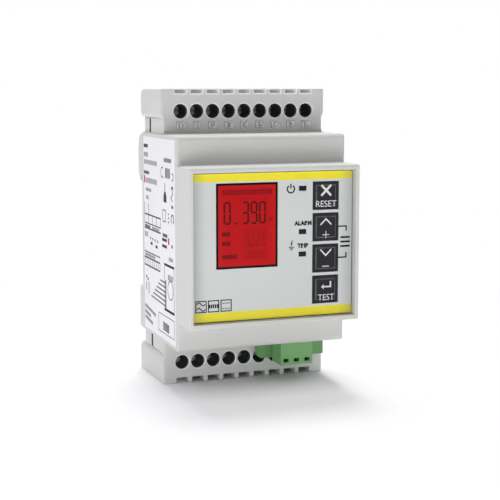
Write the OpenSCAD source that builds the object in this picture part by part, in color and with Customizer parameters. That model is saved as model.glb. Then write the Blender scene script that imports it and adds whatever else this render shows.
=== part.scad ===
// Protection relay, three modules wide, for a 35 mm mounting rail.
// X runs across the body, Y runs from the front to the back and Z is up.
// The origin is the middle of the rail seat, so the front lies at negative Y.

/* [Housing] */
// Width across the side walls
body_w = 53; // [50:0.5:72]
// Height over both terminal tiers
body_h = 90; // [87:0.5:100]
// Height of the middle tier
mid_h = 63.3; // [60:0.1:66]
// Height of the front bezel
bezel_h = 46.3; // [45:0.1:52]
// Depth from the rail seat to the terminal faces
terminal_depth = 22; // [21:0.5:30]
// Step from the terminal faces to the middle tier
mid_step = 16; // [14:0.5:24]
// Step from the middle tier to the front of the bezel
bezel_step = 11; // [9:0.5:16]
// Depth of the feet behind the rail seat
foot_depth = 4; // [3.6:0.1:6]
// Thickness of the moulded walls
wall = 2.2; // [1.9:0.1:2.6]
// Height of the set-back band beside each terminal cover
band_h = 4.65; // [3.6:0.05:6]
// Set-back of that band from the side walls
band_inset = 0.85; // [0.4:0.05:1.2]
// Rounding of the upper cover's back edge
rear_round = 3.5; // [1:0.1:5]
// Rounding of the lower cover's back edge
low_rear_round = 1.3; // [0.4:0.1:2]
// Rounding of the middle tier's front edges
mid_round = 1.5; // [0.4:0.1:2]
// Rounding of the other outer edges
edge_round = 0.8; // [0.2:0.1:1.2]
// Rounding of the tiers' corners, seen from the front
corner_round = 0.6; // [0.2:0.1:0.8]
// Height of the slope from each terminal cover in to its band
cap_slope = 1.4; // [0.4:0.1:2]
// Hollow fillet where the terminal covers meet the middle tier
cove = 0.7; // [0.2:0.1:1.5]
// Hollow fillet where the middle tier meets the bezel
bezel_cove = 2; // [0.4:0.1:2.4]

/* [Rail seat] */
// Width of the mounting rail
rail_w = 35; // [33:0.1:36]
// Thickness of the rail's flange
rail_t = 1; // [0.8:0.1:1.5]
// How far the hook and the clip reach behind the flange
rail_grip = 1.5; // [1:0.1:2]
// Width of the sliding clip
clip_w = 14; // [10:0.5:18]
// Travel of the sliding clip
clip_travel = 3; // [2:0.1:3.5]

/* [Terminals] */
// Distance from one terminal to the next
terminal_pitch = 5.08; // [4.8:0.01:7.62]
// Diameter of the screw holes
screw_hole_d = 4.3; // [3.6:0.1:4.6]
// Distance of the screw rows from the ends
screw_drop = 6.6; // [6:0.1:7.2]
// Width of the ribs between the wire notches
rib_w = 1.45; // [1:0.05:1.8]
// Depth of the upper wire notches
upper_notch = 1.35; // [0.8:0.05:1.7]
// Depth of the lower wire notches
lower_notch = 1.75; // [0.8:0.05:1.8]
// Length of the wire notches
notch_l = 14; // [12:0.5:15]

/* [Front panel] */
// Width of the bezel's side strips
bezel_side = 1.4; // [1:0.1:1.8]
// Width of the bezel's upper and lower strips
bezel_rim = 1.55; // [1.2:0.05:2]
// Depth of the panel behind the bezel's front
panel_recess = 2; // [0.8:0.05:2.4]
// Thickness of the panel plate
panel_t = 1.5; // [1.2:0.1:2]
// Thickness of the printed film
film_t = 0.25; // [0.15:0.05:0.4]
// Width of the display window
lcd_w = 18.9; // [14:0.05:21]
// Height of the display window
lcd_h = 24.7; // [18:0.1:30]
// Distance of the display window from the panel's left edge
lcd_left = 7.35; // [5:0.05:9]
// Distance of the display window from the panel's upper edge
lcd_top = 3.1; // [2.6:0.1:6]
// Size of the square keys
key_size = 8.1; // [6.5:0.1:8.6]
// Distance from one key to the next
key_pitch = 9.27; // [9:0.01:10]
// Distance of the keys from the panel's right edge
key_right = 4.75; // [4:0.05:6.5]
// Height of the key column's middle above the panel's middle
key_rise = 0.18; // [-0.5:0.01:0.8]
// Travel of the keys
key_travel = 0.35; // [0.2:0.05:0.4]
// Width of the indicator windows
lamp_w = 2.4; // [1.8:0.1:3]
// Height of the indicator windows
lamp_h = 1.5; // [1:0.1:2]
// Gap between the indicator windows and the keys
lamp_gap = 2.1; // [1.5:0.1:2.6]
// Distance of the power indicator from the panel's upper edge
power_drop = 5.2; // [4.5:0.1:7]
// Distance of the alarm indicator from the panel's upper edge
alarm_drop = 17.9; // [16:0.1:19]
// Distance of the trip indicator from the panel's upper edge
trip_drop = 24.5; // [23:0.1:28]

/* [Boards] */
// Thickness of the circuit boards
board_t = 1.6; // [1:0.1:2]
// Height of the main board above the back wall
board_stand = 2; // [1.5:0.1:3]
// Depth of the display board behind the panel plate
display_gap = 3.7; // [3.5:0.1:5]

/* [Connector] */
// Distance from one pole of the connector to the next
pole_pitch = 3.5; // [3.4:0.01:3.81]
// Distance of the connector's middle from the right side
connector_right = 13.15; // [12.5:0.05:14]
// Distance of the plug's front from the terminal faces
plug_front = 10.6; // [9.5:0.1:11.5]
// Distance of the plug's underside from the middle tier
plug_drop = 7.85; // [7.4:0.05:8.8]
// Width over the header's two ears
header_w = 22.2; // [20:0.1:23]
// Distance of the header's right end from the right side
header_right = 1; // [0.9:0.05:1.6]
// Height of the header's ears below the middle tier
ear_drop = 6.75; // [4:0.05:7.2]
// Travel of the plug until its contacts part
plug_travel = 4.5; // [3:0.1:4.5]

/* [Label] */
// Distance of the side label from the rail seat
label_back = 2.5; // [1:0.1:6]
// Distance of the side label from the middle tier's front
label_front = 2.1; // [1.6:0.1:6]
// Margin of the side label above and below
label_margin = 1.3; // [0.8:0.1:5]
// Thickness of the side label
label_t = 0.12; // [0.08:0.01:0.2]

/* [Hidden] */
$fn = 48;

// Colours
shell_grey = "#dededa";
panel_silver = "#c4c8c6";
key_dark = "#33353a";
board_green = "#1f5a38";
plug_green = "#6a9c62";
steel = "#b9bcc0";
brass = "#c9a85a";
black = "#1d1e20";

// Overshoot of a cut past the face that it opens
over = 0.5;
// Overlap of two shapes that make one solid
bite = 0.05;
// Gap between mouldings that slide or clip together
fit = 0.2;
// Gap between a board and the walls around it
board_gap = 1.4;
// Turn from one corner of a rectangle to the next
quarter = 90;

// Planes of the housing
half_w = body_w / 2;
top_z = body_h / 2;
mid_z = mid_h / 2;
bezel_z = bezel_h / 2;
term_y = -terminal_depth;
mid_y = term_y - mid_step;
front_y = mid_y - bezel_step;
plate_y = term_y + wall;
in_x = half_w - wall;
band_x = half_w - band_inset;
cap_z = mid_z + band_h;
roof_z = top_z - wall;
// Back of the upper band, of the lower band and of the two terminal covers
upper_band_y = -1;
lower_band_y = 0.7;
upper_rear_y = 0.9;
lower_rear_y = foot_depth - fit;
// How far the terminal covers reach under the front cover
cover_lap = 1.8;

// Rail seat, hook and feet
rail_z = rail_w / 2;
rail_gap = 0.3;
groove_z = rail_z + rail_gap;
recess_z = rail_z + rail_gap;
lip_y = rail_t + rail_gap;
lip_z = rail_z - rail_grip;
lip_flat = 0.6;
lip_root = 0.8;
foot_slope = 1.65;
foot_lead = 4.4;
foot_ease = 1;
low_foot_ease = 0.6;
low_foot_taper = 0.3;
low_foot_slope = 0.65;

// Sliding clip: a wide flange under a narrower spine
spine_x = clip_w / 2;
spine_gap = 0.3;
spine_y = foot_depth - spine_gap;
flange_w = 2;
flange_x = spine_x + flange_w;
flange_y = 1.6;
clip_drop = 0.6;
clip_spare = 1;
clip_top_z = -recess_z - clip_drop;
clip_tail_z = -top_z + clip_travel + clip_spare;
flange_tail_z = -cap_z + clip_travel + clip_spare;
nose_flat = 0.7;
tool_slot_w = 8;
tool_slot_h = 2;
tongue_w = 5;
tongue_l = 9;
tongue_slit = 0.8;
tongue_rise = 2;
grip_pitch = 1.6;
grip_d = 0.8;

// Latches of the terminal covers, each with a nose in an upright slot of the band
latch_back = 15;
latch_y = term_y + latch_back;
latch_w = 1.8;
latch_t = 0.9;
slot_bridge = 0.4;
slot_top_z = cap_z - slot_bridge;
nose_set = 1;
nose_h = 2.4;

// Terminals
row_margin = 3.5;
terminal_count = floor((body_w - 2 * row_margin) / terminal_pitch);
terminal_x = [for (i = [0:terminal_count - 1]) (i - (terminal_count - 1) / 2) * terminal_pitch];
screw_z = top_z - screw_drop;
notch_w = terminal_pitch - rib_w;
hole_chamfer = 0.2;
wire_end = 0.6;
wire_y0 = plate_y + wire_end;
wire_y1 = term_y + notch_l - wire_end;
wire_ease = 0.2;

// Panel and display, from the front to the back
film_y = front_y + panel_recess;
panel_y = film_y + film_t;
panel_back = panel_y + panel_t;
panel_gap = 0.35;
ledge_t = 1.2;
ledge_back = panel_back + ledge_t;
display_y = panel_back + display_gap;
display_back = display_y + board_t;
panel_x = half_w - bezel_side;
panel_z = bezel_z - bezel_rim;
ledge_w = 1.6;
lcd_x0 = -panel_x + lcd_left;
lcd_x1 = lcd_x0 + lcd_w;
lcd_z1 = panel_z - lcd_top;
lcd_z0 = lcd_z1 - lcd_h;
lcd_edge = 1;
lcd_tab = 2.2;
window_gap = 0.1;
glass_y = panel_back + window_gap;
glass_half = 1;
backlight_y = glass_y + 2 * glass_half;

// Keys and their switches
key_x = panel_x - key_right - key_size / 2;
keys = 4;
key_z = [for (i = [0:keys - 1]) ((keys - 1) / 2 - i) * key_pitch + key_rise];
key_gap = 0.15;
key_round = 0.5;
pad_inset = 1;
pad_proud = 0.25;
key_flange = 0.7;
key_flange_w = 0.75;
key_back = panel_back + key_flange;
switch_w = 6;
switch_spare = 0.35;
switch_y = key_back + key_travel + switch_spare;
plunger_d = 3.2;
plunger_seat = 0.4;
plunger_gap = 0.35;

// Indicators
lamp_x = panel_x - key_right - key_size - lamp_gap - lamp_w / 2;
lamp_z = [panel_z - power_drop, panel_z - alarm_drop, panel_z - trip_drop];
lens_flange = 0.5;
lens_flange_t = 0.8;
led_t = 0.8;
led_inset = 0.2;

// Boards, spacers and links
board_x = in_x - board_gap;
main_back = -wall - board_stand;
main_y = main_back - board_t;
header_gap = 0.6;
logic_y = term_y - header_gap;
logic_back = logic_y + board_t;
logic_fit = 0.5;
logic_z = mid_z - wall - logic_fit;
main_fit = 1;
main_z = roof_z - main_fit;
display_fit = 0.4;
display_x = in_x - display_fit;
display_z = panel_z - display_fit;
spacer_in = 2.5;
spacer_x = board_x - spacer_in;
spacer_drop = 5.2;
spacer_rise = 14.65;
spacer_z1 = mid_z - spacer_drop;
spacer_z0 = spacer_rise - mid_z;
spacer_spots = [for (x = [-spacer_x, spacer_x]) for (z = [spacer_z0, spacer_z1]) [x, z]];
spacer_d = 5.4;
stud_d = 2.4;
stud_reach = 1.2;
thread_gap = 0.2;
screw_d = 2;
screw_head_d = 4.2;
screw_head_t = 1.6;
screw_l = 4;
post_w = 3.4;
post_spots = [
    for (x = [-1, 1]) for (z = [-1, 1]) [x * (display_x - post_w / 2), z * (display_z - post_w / 2)]
];
pin_pitch = 2;
pin_w = 0.64;
strip_w = 2.4;
strip_t = 2.5;
strip_pins = 10;

// Parts on the main board
core_w = 24;
core_h = 20;
core_t = 8;
core_leg = 8;
core_frame = 4;
coil_over = 2.8;
core_side = 1.9;
core_x = core_side + core_w / 2 - board_x;
core_z = 8;
relay_w = 7;
relay_h = 20;
relay_t = 14;
relay_gap = 1.5;
relay_side = 1.4;
relay_x = board_x - relay_side - relay_gap - 2 * relay_w;
relay_z = 2;
capacitor_d = 10;
capacitor_h = 13;
capacitor_x = core_x;
capacitor_z = -14;
chip_w = 10;
chip_t = 1.4;
chip_lead = 1;
chip_lead_t = 0.3;
chip_z = 8;

// Terminal blocks
block_rise = 1.2;
block_fit = 0.3;
block_z0 = mid_z + block_rise;
block_z1 = roof_z - block_fit;
block_y = plate_y + block_fit;
cage_w = 3.6;
cage_t = 4.8;
cage_reach = 2;
cage_l = block_z1 - screw_z + cage_reach;
cage_wall = 0.6;
cage_stand = 1.2;
cage_y = main_y - cage_stand - cage_t;
cage_gap = 0.15;
clamp_screw_d = 2.5;
clamp_head_d = 3.5;
clamp_head_t = 1.8;
clamp_depth = 4.5;
clamp_head_y = block_y + clamp_depth;
slot_w = 0.7;
slot_deep = 0.9;

// Connector
poles = 3;
connector_x = half_w - connector_right;
pole_x = [for (i = [0:poles - 1]) connector_x + (i - (poles - 1) / 2) * pole_pitch];
plug_x = poles * pole_pitch / 2;
plug_y = term_y - plug_front;
ear_t = 2.4;
ear_y = logic_y - ear_t;
ear_round = 1.6;
ear_edge = 0.3;
ear_gap = 0.1;
ear_top = -mid_z - ear_gap;
shroud_wall = 0.8;
shroud_roof = 1.2;
shroud_h = 7.8;
shroud_x = plug_x + shroud_wall;
shroud_y = plug_y - shroud_wall / 2;
shroud_z = ear_top + shroud_h;
socket_x = plug_x - fit;
socket_y0 = plug_y + shroud_wall / 2;
socket_y1 = ear_y - shroud_wall / 2;
socket_z = shroud_z - shroud_roof;
plug_seat = 0.15;
plug_back = ear_y - fit;
plug_z0 = -mid_z - plug_drop;
plug_z1 = ear_top - plug_seat;
tongue_gap = 0.6;
tongue_z = socket_z - tongue_gap;
pole_y = (socket_y0 + socket_y1) / 2;
contact_d = 0.9;
contact_l = 4.2;
contact_z = tongue_z - contact_l;
contact_bore = 1.5;
contact_turn = 0.8;
contact_turn_z = shroud_z + contact_turn;
contact_tail = 0.6;
link_gap = 0.8;
power_link_x = pole_x[0] - contact_d / 2 - link_gap - strip_pins * pin_pitch / 2;
clamp_w = 2.5;
clamp_t = 3;
clamp_h = 4;
clamp_rise = 0.5;
clamp_z = plug_z0 + clamp_rise;
clamp_hole = 1.7;
plug_screw_d = 0.8;
plug_screw_set = 0.8;
plug_slot = 0.3;
window_w = 1.7;
window_h = 1.1;
window_rise = 1.45;
window_z = plug_z0 + window_rise;
key_notch_w = 0.9;
key_notch_h = 0.9;
key_notch_t = 0.6;

// Solid between pairs of planes
module block(x0, x1, y0, y1, z0, z1) {
    translate([x0, y0, z0])
        cube([x1 - x0, y1 - y0, z1 - z0]);
}

// Outline in Y and Z, drawn out along X about the middle
module across(w) {
    rotate([90, 0, 90])
        linear_extrude(height = w, center = true)
            children();
}

// Outline in X and Z, drawn out along Y from one plane to another
module facing(y0, y1) {
    translate([0, y1, 0])
        rotate([90, 0, 0])
            linear_extrude(height = y1 - y0)
                children();
}

// Outline in X and Y, drawn out along Z from one plane to another
module rising(z0, z1) {
    translate([0, 0, z0])
        linear_extrude(height = z1 - z0)
            children();
}

// Round bar along Y from one plane to another
module rod(d, y0, y1) {
    translate([0, y1, 0])
        rotate([90, 0, 0])
            cylinder(d = d, h = y1 - y0);
}

// Waste left outside a rounded corner, turned to suit that corner
module corner_waste(r, turn) {
    rotate(turn)
        difference() {
            translate([-over, -over])
                square(r + over);
            translate([r, r])
                circle(r);
        }
}

// Rectangle with its own rounding at the lower left, lower right, upper right and upper left
module soft_rect(x0, x1, y0, y1, r) {
    corners = [[x0, y0], [x1, y0], [x1, y1], [x0, y1]];
    difference() {
        translate([x0, y0])
            square([x1 - x0, y1 - y0]);
        for (i = [0:3])
            if (r[i] > 0)
                translate(corners[i])
                    corner_waste(r[i], quarter * i);
    }
}

// Hollow fillet that fills the corner above the axis and in front of it
module cove_fill(r) {
    difference() {
        translate([-r, -bite])
            square([r + bite, r + bite]);
        translate([-r, r])
            circle(r);
    }
}

// Front outline of a tier of the full width
module tier_outline(z) {
    soft_rect(-half_w, half_w, -z, z, [corner_round, corner_round, corner_round, corner_round]);
}

// Side outline of the back moulding, with the hook above and the clip's foot below
module rear_outline() {
    polygon([
        [term_y, mid_z],
        [upper_band_y, mid_z],
        [foot_depth - foot_ease, mid_z - foot_slope],
        [foot_depth, mid_z - foot_slope - foot_lead],
        [foot_depth, groove_z + lip_root],
        [lip_y + lip_flat, lip_z],
        [lip_y, lip_z],
        [lip_y, groove_z],
        [0, groove_z],
        [0, -recess_z],
        [foot_depth - low_foot_ease, -recess_z],
        [foot_depth - low_foot_taper, low_foot_slope - mid_z],
        [lower_band_y, -mid_z],
        [term_y, -mid_z]
    ]);
}

// Guide for the clip, with undercut grooves for its flange
module clip_guide() {
    block(-spine_x - fit, spine_x + fit, 0, foot_depth + over, -cap_z - over, -recess_z + over);
    block(-flange_x - fit, flange_x + fit, 0, flange_y + fit, -cap_z - over, clip_top_z + fit);
}

module rear_housing() {
    color(shell_grey) {
        difference() {
            union() {
                intersection() {
                    across(body_w)
                        rear_outline();
                    facing(term_y, foot_depth)
                        tier_outline(mid_z);
                }
                block(-band_x, band_x, plate_y, upper_band_y, mid_z - bite, cap_z);
                block(-band_x, band_x, plate_y, lower_band_y, -cap_z, -mid_z + bite);
            }
            block(-in_x, in_x, term_y - over, -wall, -cap_z - over, mid_z - wall);
            block(-in_x, in_x, term_y - over, upper_band_y - wall, mid_z - wall - bite, cap_z + over);
            clip_guide();
            for (end = [0, 1])
                mirror([0, 0, end])
                    for (side = [-1, 1])
                        translate([side * band_x, latch_y, 0])
                            block(-wall, wall, -latch_w / 2, latch_w / 2, mid_z, slot_top_z);
        }
        for (spot = spacer_spots)
            translate([spot[0], 0, spot[1]])
                difference() {
                    rod(spacer_d, main_back, -wall + bite);
                    rod(stud_d + thread_gap, main_back - over, -wall + over);
                }
    }
}

// Wire notch in the end of a terminal cover, with its ribs rounded at their ends
module notch_outline(depth, rib_round) {
    translate([-notch_w / 2, top_z - depth])
        square([notch_w, depth + over]);
    translate([notch_w / 2, top_z])
        corner_waste(rib_round, 270);
    translate([-notch_w / 2, top_z])
        corner_waste(rib_round, 180);
}

// Screw holes, wire notches and wire entries of one row of terminals
module terminal_cuts(notch, rib_round) {
    for (x = terminal_x)
        translate([x, 0, 0]) {
            translate([0, 0, screw_z])
                rod(screw_hole_d, term_y - over, plate_y + over);
            translate([0, term_y + hole_chamfer, screw_z])
                rotate([90, 0, 0])
                    cylinder(d1 = screw_hole_d, d2 = screw_hole_d + 4 * hole_chamfer, h = 2 * hole_chamfer);
            facing(term_y - over, term_y + notch_l)
                notch_outline(notch, rib_round);
            block(wire_ease - notch_w / 2, notch_w / 2 - wire_ease, wire_y0, wire_y1, roof_z - over, top_z);
        }
}

// Springy tongue with a nose that catches in a latch slot of the back moulding
module cover_latch() {
    outer = in_x - fit;
    tip = band_x - nose_set;
    nose_z = slot_top_z - fit - nose_h;
    block(outer - latch_t, outer, latch_y - latch_w, latch_y + latch_w, mid_z + fit, roof_z + bite);
    facing(latch_y - latch_w / 2 + fit, latch_y + latch_w / 2 - fit)
        polygon([
            [outer - bite, nose_z],
            [outer, nose_z],
            [tip, nose_z + nose_h / 2],
            [tip, nose_z + nose_h],
            [outer - bite, nose_z + nose_h]
        ]);
}

// Front outline of a terminal cover, with a slope in to the band on both sides
module cap_outline() {
    intersection() {
        soft_rect(-half_w, half_w, cap_z, top_z, [0, 0, corner_round, corner_round]);
        polygon([
            [-band_x, cap_z],
            [band_x, cap_z],
            [half_w, cap_z + cap_slope],
            [half_w, top_z],
            [-half_w, top_z],
            [-half_w, cap_z + cap_slope]
        ]);
    }
}

// Cap over one row of terminals, drawn for the upper end
module terminal_cover(rear, back_round, end_round) {
    difference() {
        intersection() {
            across(body_w)
                soft_rect(term_y, rear, cap_z, top_z, [0, 0, back_round, end_round]);
            rising(cap_z, top_z)
                soft_rect(-half_w, half_w, term_y, rear, [edge_round, edge_round, edge_round, edge_round]);
            facing(term_y, rear)
                cap_outline();
        }
        block(-in_x, in_x, plate_y, rear - wall, cap_z - over, roof_z);
    }
    block(-band_x, band_x, term_y, plate_y, mid_z, cap_z + bite);
    block(fit - in_x, in_x - fit, term_y, plate_y, mid_z - cover_lap, mid_z + bite);
    cover_latch();
    mirror([1, 0, 0])
        cover_latch();
}

module upper_terminal_cover() {
    color(shell_grey)
        difference() {
            terminal_cover(upper_rear_y, rear_round, edge_round / 2);
            terminal_cuts(upper_notch, rib_w / 4);
        }
}

module lower_terminal_cover() {
    channel_x = spine_x + fit;
    color(shell_grey)
        mirror([0, 0, 1])
            difference() {
                union() {
                    terminal_cover(lower_rear_y, low_rear_round, edge_round / 2);
                    across(2 * (channel_x + wall))
                        soft_rect(-wall, lower_rear_y - bite, cap_z, top_z - bite, [0, 0, low_rear_round, 0]);
                }
                block(-channel_x, channel_x, 0, lower_rear_y + over, cap_z - over, top_z + over);
                terminal_cuts(lower_notch, rib_w / 2);
            }
}

// Outer form of the middle tier and the bezel
module cover_form() {
    intersection() {
        across(body_w)
            soft_rect(mid_y, term_y, -mid_z, mid_z, [mid_round, 0, 0, mid_round]);
        rising(-mid_z, mid_z)
            soft_rect(-half_w, half_w, mid_y, term_y, [edge_round, edge_round, 0, 0]);
        facing(mid_y, term_y)
            tier_outline(mid_z);
    }
    intersection() {
        across(body_w)
            soft_rect(front_y, mid_y + wall, -bezel_z, bezel_z, [edge_round, 0, 0, edge_round]);
        rising(-bezel_z, bezel_z)
            soft_rect(-half_w, half_w, front_y, mid_y + wall, [edge_round, edge_round, 0, 0]);
        facing(front_y, mid_y + wall)
            tier_outline(bezel_z);
    }
    for (end = [0, 1])
        mirror([0, 0, end])
            across(body_w - 2 * edge_round) {
                translate([mid_y, bezel_z])
                    cove_fill(bezel_cove);
                translate([term_y - bite, mid_z])
                    cove_fill(cove);
            }
}

// Lip inside each side wall that centres the front cover in the back moulding
module cover_lip() {
    outer = in_x - fit;
    lip_t = 1;
    lip_l = 2.5;
    reach = mid_z / 2;
    block(outer - lip_t, outer, term_y - lip_l, term_y + lip_l, -reach, reach);
    block(outer - lip_t, in_x + bite, term_y - lip_l, term_y - lip_l / 2, -reach, reach);
}

module front_cover() {
    color(shell_grey) {
        difference() {
            cover_form();
            block(-in_x, in_x, mid_y + wall, term_y + over, wall - mid_z, mid_z - wall);
            block(-in_x, in_x, ledge_back, mid_y + wall + bite, -panel_z, panel_z);
            block(ledge_w - panel_x, panel_x - ledge_w, panel_back - bite, ledge_back + bite,
                ledge_w - panel_z, panel_z - ledge_w);
            block(-panel_x, panel_x, front_y - over, panel_back, -panel_z, panel_z);
            block(connector_x - shroud_x - fit, connector_x + shroud_x + fit, shroud_y - fit, term_y + over,
                -mid_z - over, wall - mid_z + over);
        }
        cover_lip();
        mirror([1, 0, 0])
            cover_lip();
        for (spot = post_spots)
            translate([spot[0], 0, spot[1]])
                difference() {
                    block(-post_w / 2, post_w / 2, ledge_back - bite, display_y, -post_w / 2, post_w / 2);
                    rod(screw_d + thread_gap, ledge_back, display_y + over);
                }
    }
}

// Nose of the clip, with a slope that lets the rail push it aside
module clip_nose() {
    across(2 * spine_x)
        polygon([
            [lip_y + fit, clip_top_z],
            [lip_y + fit, -lip_z],
            [lip_y + fit + nose_flat, -lip_z],
            [spine_y, -recess_z],
            [spine_y, clip_top_z]
        ]);
}

module rail_clip() {
    tongue_top = flange_tail_z + tongue_l + tongue_rise;
    tool_z = clip_tail_z + 2 * tool_slot_h;
    color(black)
        difference() {
            union() {
                block(-flange_x, flange_x, fit / 2, flange_y, flange_tail_z, clip_top_z);
                block(-spine_x, spine_x, fit / 2, spine_y, clip_tail_z, clip_top_z);
                translate([0, 0, -bite])
                    clip_nose();
            }
            block(-tool_slot_w / 2, tool_slot_w / 2, -over, spine_y + over, tool_z - tool_slot_h / 2,
                tool_z + tool_slot_h / 2);
            for (side = [-1, 1])
                translate([side * (tongue_w + tongue_slit) / 2, 0, 0])
                    block(-tongue_slit / 2, tongue_slit / 2, -over, spine_y + over,
                        tongue_top - tongue_l, tongue_top);
            block(-tongue_w / 2 - tongue_slit, tongue_w / 2 + tongue_slit, -over, spine_y + over,
                tongue_top - bite, tongue_top + tongue_slit);
            for (i = [0:2])
                translate([0, spine_y, tool_z + tool_slot_h + i * grip_pitch])
                    rotate([0, 90, 0])
                        cylinder(d = grip_d, h = 2 * spine_x + over, center = true);
        }
}

module side_label() {
    color("white")
        block(-half_w - label_t, -half_w, mid_y + label_front, -label_back,
            label_margin - mid_z, mid_z - label_margin);
}

// Openings for the display, the keys and the indicators
module panel_openings() {
    translate([lcd_x0, lcd_z0])
        square([lcd_w, lcd_h]);
    for (z = key_z)
        translate([key_x, z])
            square(key_size + 2 * key_gap, center = true);
    for (z = lamp_z)
        translate([lamp_x, z])
            square([lamp_w, lamp_h], center = true);
}

// Outline of the panel plate and of the film on it
module panel_outline() {
    difference() {
        translate([-panel_x + panel_gap, -panel_z + panel_gap])
            square([2 * (panel_x - panel_gap), 2 * (panel_z - panel_gap)]);
        panel_openings();
    }
}

module front_panel() {
    color(panel_silver)
        facing(panel_y, panel_back)
            panel_outline();
}

module panel_overlay() {
    color(panel_silver)
        facing(film_y, panel_y)
            panel_outline();
}

module display_window() {
    color("#c8151b")
        block(lcd_x0 + window_gap, lcd_x1 - window_gap, film_y, glass_y,
            lcd_z0 + window_gap, lcd_z1 - window_gap);
}

module lcd_glass() {
    color("#8c1216") {
        block(lcd_x0 - lcd_edge, lcd_x1 + lcd_edge, glass_y, glass_y + glass_half,
            lcd_z0 - lcd_edge, lcd_z1 + lcd_edge);
        block(lcd_x0 - lcd_edge, lcd_x1 + lcd_edge, glass_y + glass_half - bite, backlight_y,
            lcd_z0 - lcd_edge - lcd_tab, lcd_z1 + lcd_edge);
    }
}

module backlight() {
    color("white")
        block(lcd_x0 - lcd_edge, lcd_x1 + lcd_edge, backlight_y, display_y, lcd_z0, lcd_z1);
}

// Key cap with a raised pad, and a flange at each side behind the panel
module key_cap(z) {
    half = key_size / 2;
    pad = half - pad_inset;
    corner = [key_round, key_round, key_round, key_round];
    color(key_dark)
        translate([key_x, 0, z]) {
            facing(film_y, key_back)
                soft_rect(-half, half, -half, half, corner);
            facing(film_y - pad_proud, film_y + bite)
                soft_rect(-pad, pad, -pad, pad, corner);
            block(-half - key_flange_w, half + key_flange_w, panel_back, key_back, -pad, pad);
        }
}

module reset_key() {
    key_cap(key_z[0]);
}

module up_key() {
    key_cap(key_z[1]);
}

module down_key() {
    key_cap(key_z[2]);
}

module test_key() {
    key_cap(key_z[3]);
}

// Plunger between a key and its switch
module key_plunger(z) {
    color("white")
        translate([key_x, 0, z])
            rod(plunger_d, key_back, switch_y + plunger_seat);
}

module reset_plunger() {
    key_plunger(key_z[0]);
}

module up_plunger() {
    key_plunger(key_z[1]);
}

module down_plunger() {
    key_plunger(key_z[2]);
}

module test_plunger() {
    key_plunger(key_z[3]);
}

module key_switches() {
    bore_end = switch_y + plunger_seat + key_travel + fit;
    color(black)
        for (z = key_z)
            translate([key_x, 0, z])
                difference() {
                    block(-switch_w / 2, switch_w / 2, switch_y, display_y, -switch_w / 2, switch_w / 2);
                    rod(plunger_d + 2 * plunger_gap, switch_y - over, bore_end);
                }
}

// Light pipe from an indicator window to its lamp
module lamp_lens(z) {
    w = lamp_w / 2 - window_gap;
    h = lamp_h / 2 - window_gap;
    color("#2a2b2e")
        translate([lamp_x, 0, z]) {
            block(-w, w, film_y, display_y - led_t, -h, h);
            block(-w - lens_flange, w + lens_flange, panel_back, panel_back + lens_flange_t,
                -h - lens_flange, h + lens_flange);
        }
}

module power_lens() {
    lamp_lens(lamp_z[0]);
}

module alarm_lens() {
    lamp_lens(lamp_z[1]);
}

module trip_lens() {
    lamp_lens(lamp_z[2]);
}

module status_leds() {
    w = lamp_w / 2 - led_inset;
    h = lamp_h / 2 - led_inset;
    color("white")
        for (z = lamp_z)
            translate([lamp_x, 0, z])
                block(-w, w, display_y - led_t, display_y, -h, h);
}

module display_board() {
    color(board_green)
        difference() {
            block(-display_x, display_x, display_y, display_back, -display_z, display_z);
            for (spot = post_spots)
                translate([spot[0], 0, spot[1]])
                    rod(screw_d + thread_gap, display_y - over, display_back + over);
        }
}

module logic_board() {
    color(board_green)
        difference() {
            block(-board_x, board_x, logic_y, logic_back, -logic_z, logic_z);
            for (spot = spacer_spots)
                translate([spot[0], 0, spot[1]])
                    rod(screw_d + thread_gap, logic_y - over, logic_back + over);
            for (x = pole_x)
                translate([x, 0, contact_turn_z])
                    rod(contact_d + thread_gap, logic_y - over, logic_back + over);
        }
}

module main_board() {
    color(board_green)
        difference() {
            block(-board_x, board_x, main_y, main_back, -main_z, main_z);
            for (spot = spacer_spots)
                translate([spot[0], 0, spot[1]])
                    rod(stud_d + thread_gap, main_y - over, main_back + over);
        }
}

// Row of pins between two boards, in a moulded strip at each end
module pin_strip(x, y0, y1, z) {
    half = strip_pins * pin_pitch / 2;
    color(black)
        for (y = [y0, y1 - strip_t])
            block(x - half, x + half, y, y + strip_t, z - strip_w / 2, z + strip_w / 2);
    color(brass)
        for (i = [0:strip_pins - 1])
            translate([x + (i + 0.5) * pin_pitch - half, 0, z])
                block(-pin_w / 2, pin_w / 2, y0 + bite, y1 - bite, -pin_w / 2, pin_w / 2);
}

module display_link() {
    pin_strip(0, display_back, logic_y, strip_t - display_z);
}

module power_link() {
    pin_strip(power_link_x, logic_back, main_y, 2 * strip_t - logic_z);
}

// Hexagonal posts between the main board and the logic board
module board_spacers() {
    color(steel)
        for (spot = spacer_spots)
            translate([spot[0], 0, spot[1]])
                difference() {
                    union() {
                        rod($fn = 6, spacer_d, logic_back, main_y);
                        rod(stud_d, main_y - bite, main_back + stud_reach);
                    }
                    rod(screw_d + thread_gap, logic_back - over, logic_back + screw_l + thread_gap);
                }
}

// Screw with a slotted head on a board, turned half round where it sits on the back
module board_screw(y, turn) {
    translate([0, y, 0])
        rotate([0, 0, turn])
            difference() {
                union() {
                    rod(screw_head_d, -screw_head_t, 0);
                    rod(screw_d, -bite, board_t + screw_l / 2);
                }
                block(-screw_head_d, screw_head_d, -screw_head_t - over, slot_deep - screw_head_t,
                    -slot_w / 2, slot_w / 2);
            }
}

module board_screws() {
    color(steel) {
        for (spot = spacer_spots)
            translate([spot[0], 0, spot[1]])
                board_screw(logic_y, 0);
        for (spot = post_spots)
            translate([spot[0], 0, spot[1]])
                board_screw(display_back, 180);
    }
}

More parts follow.
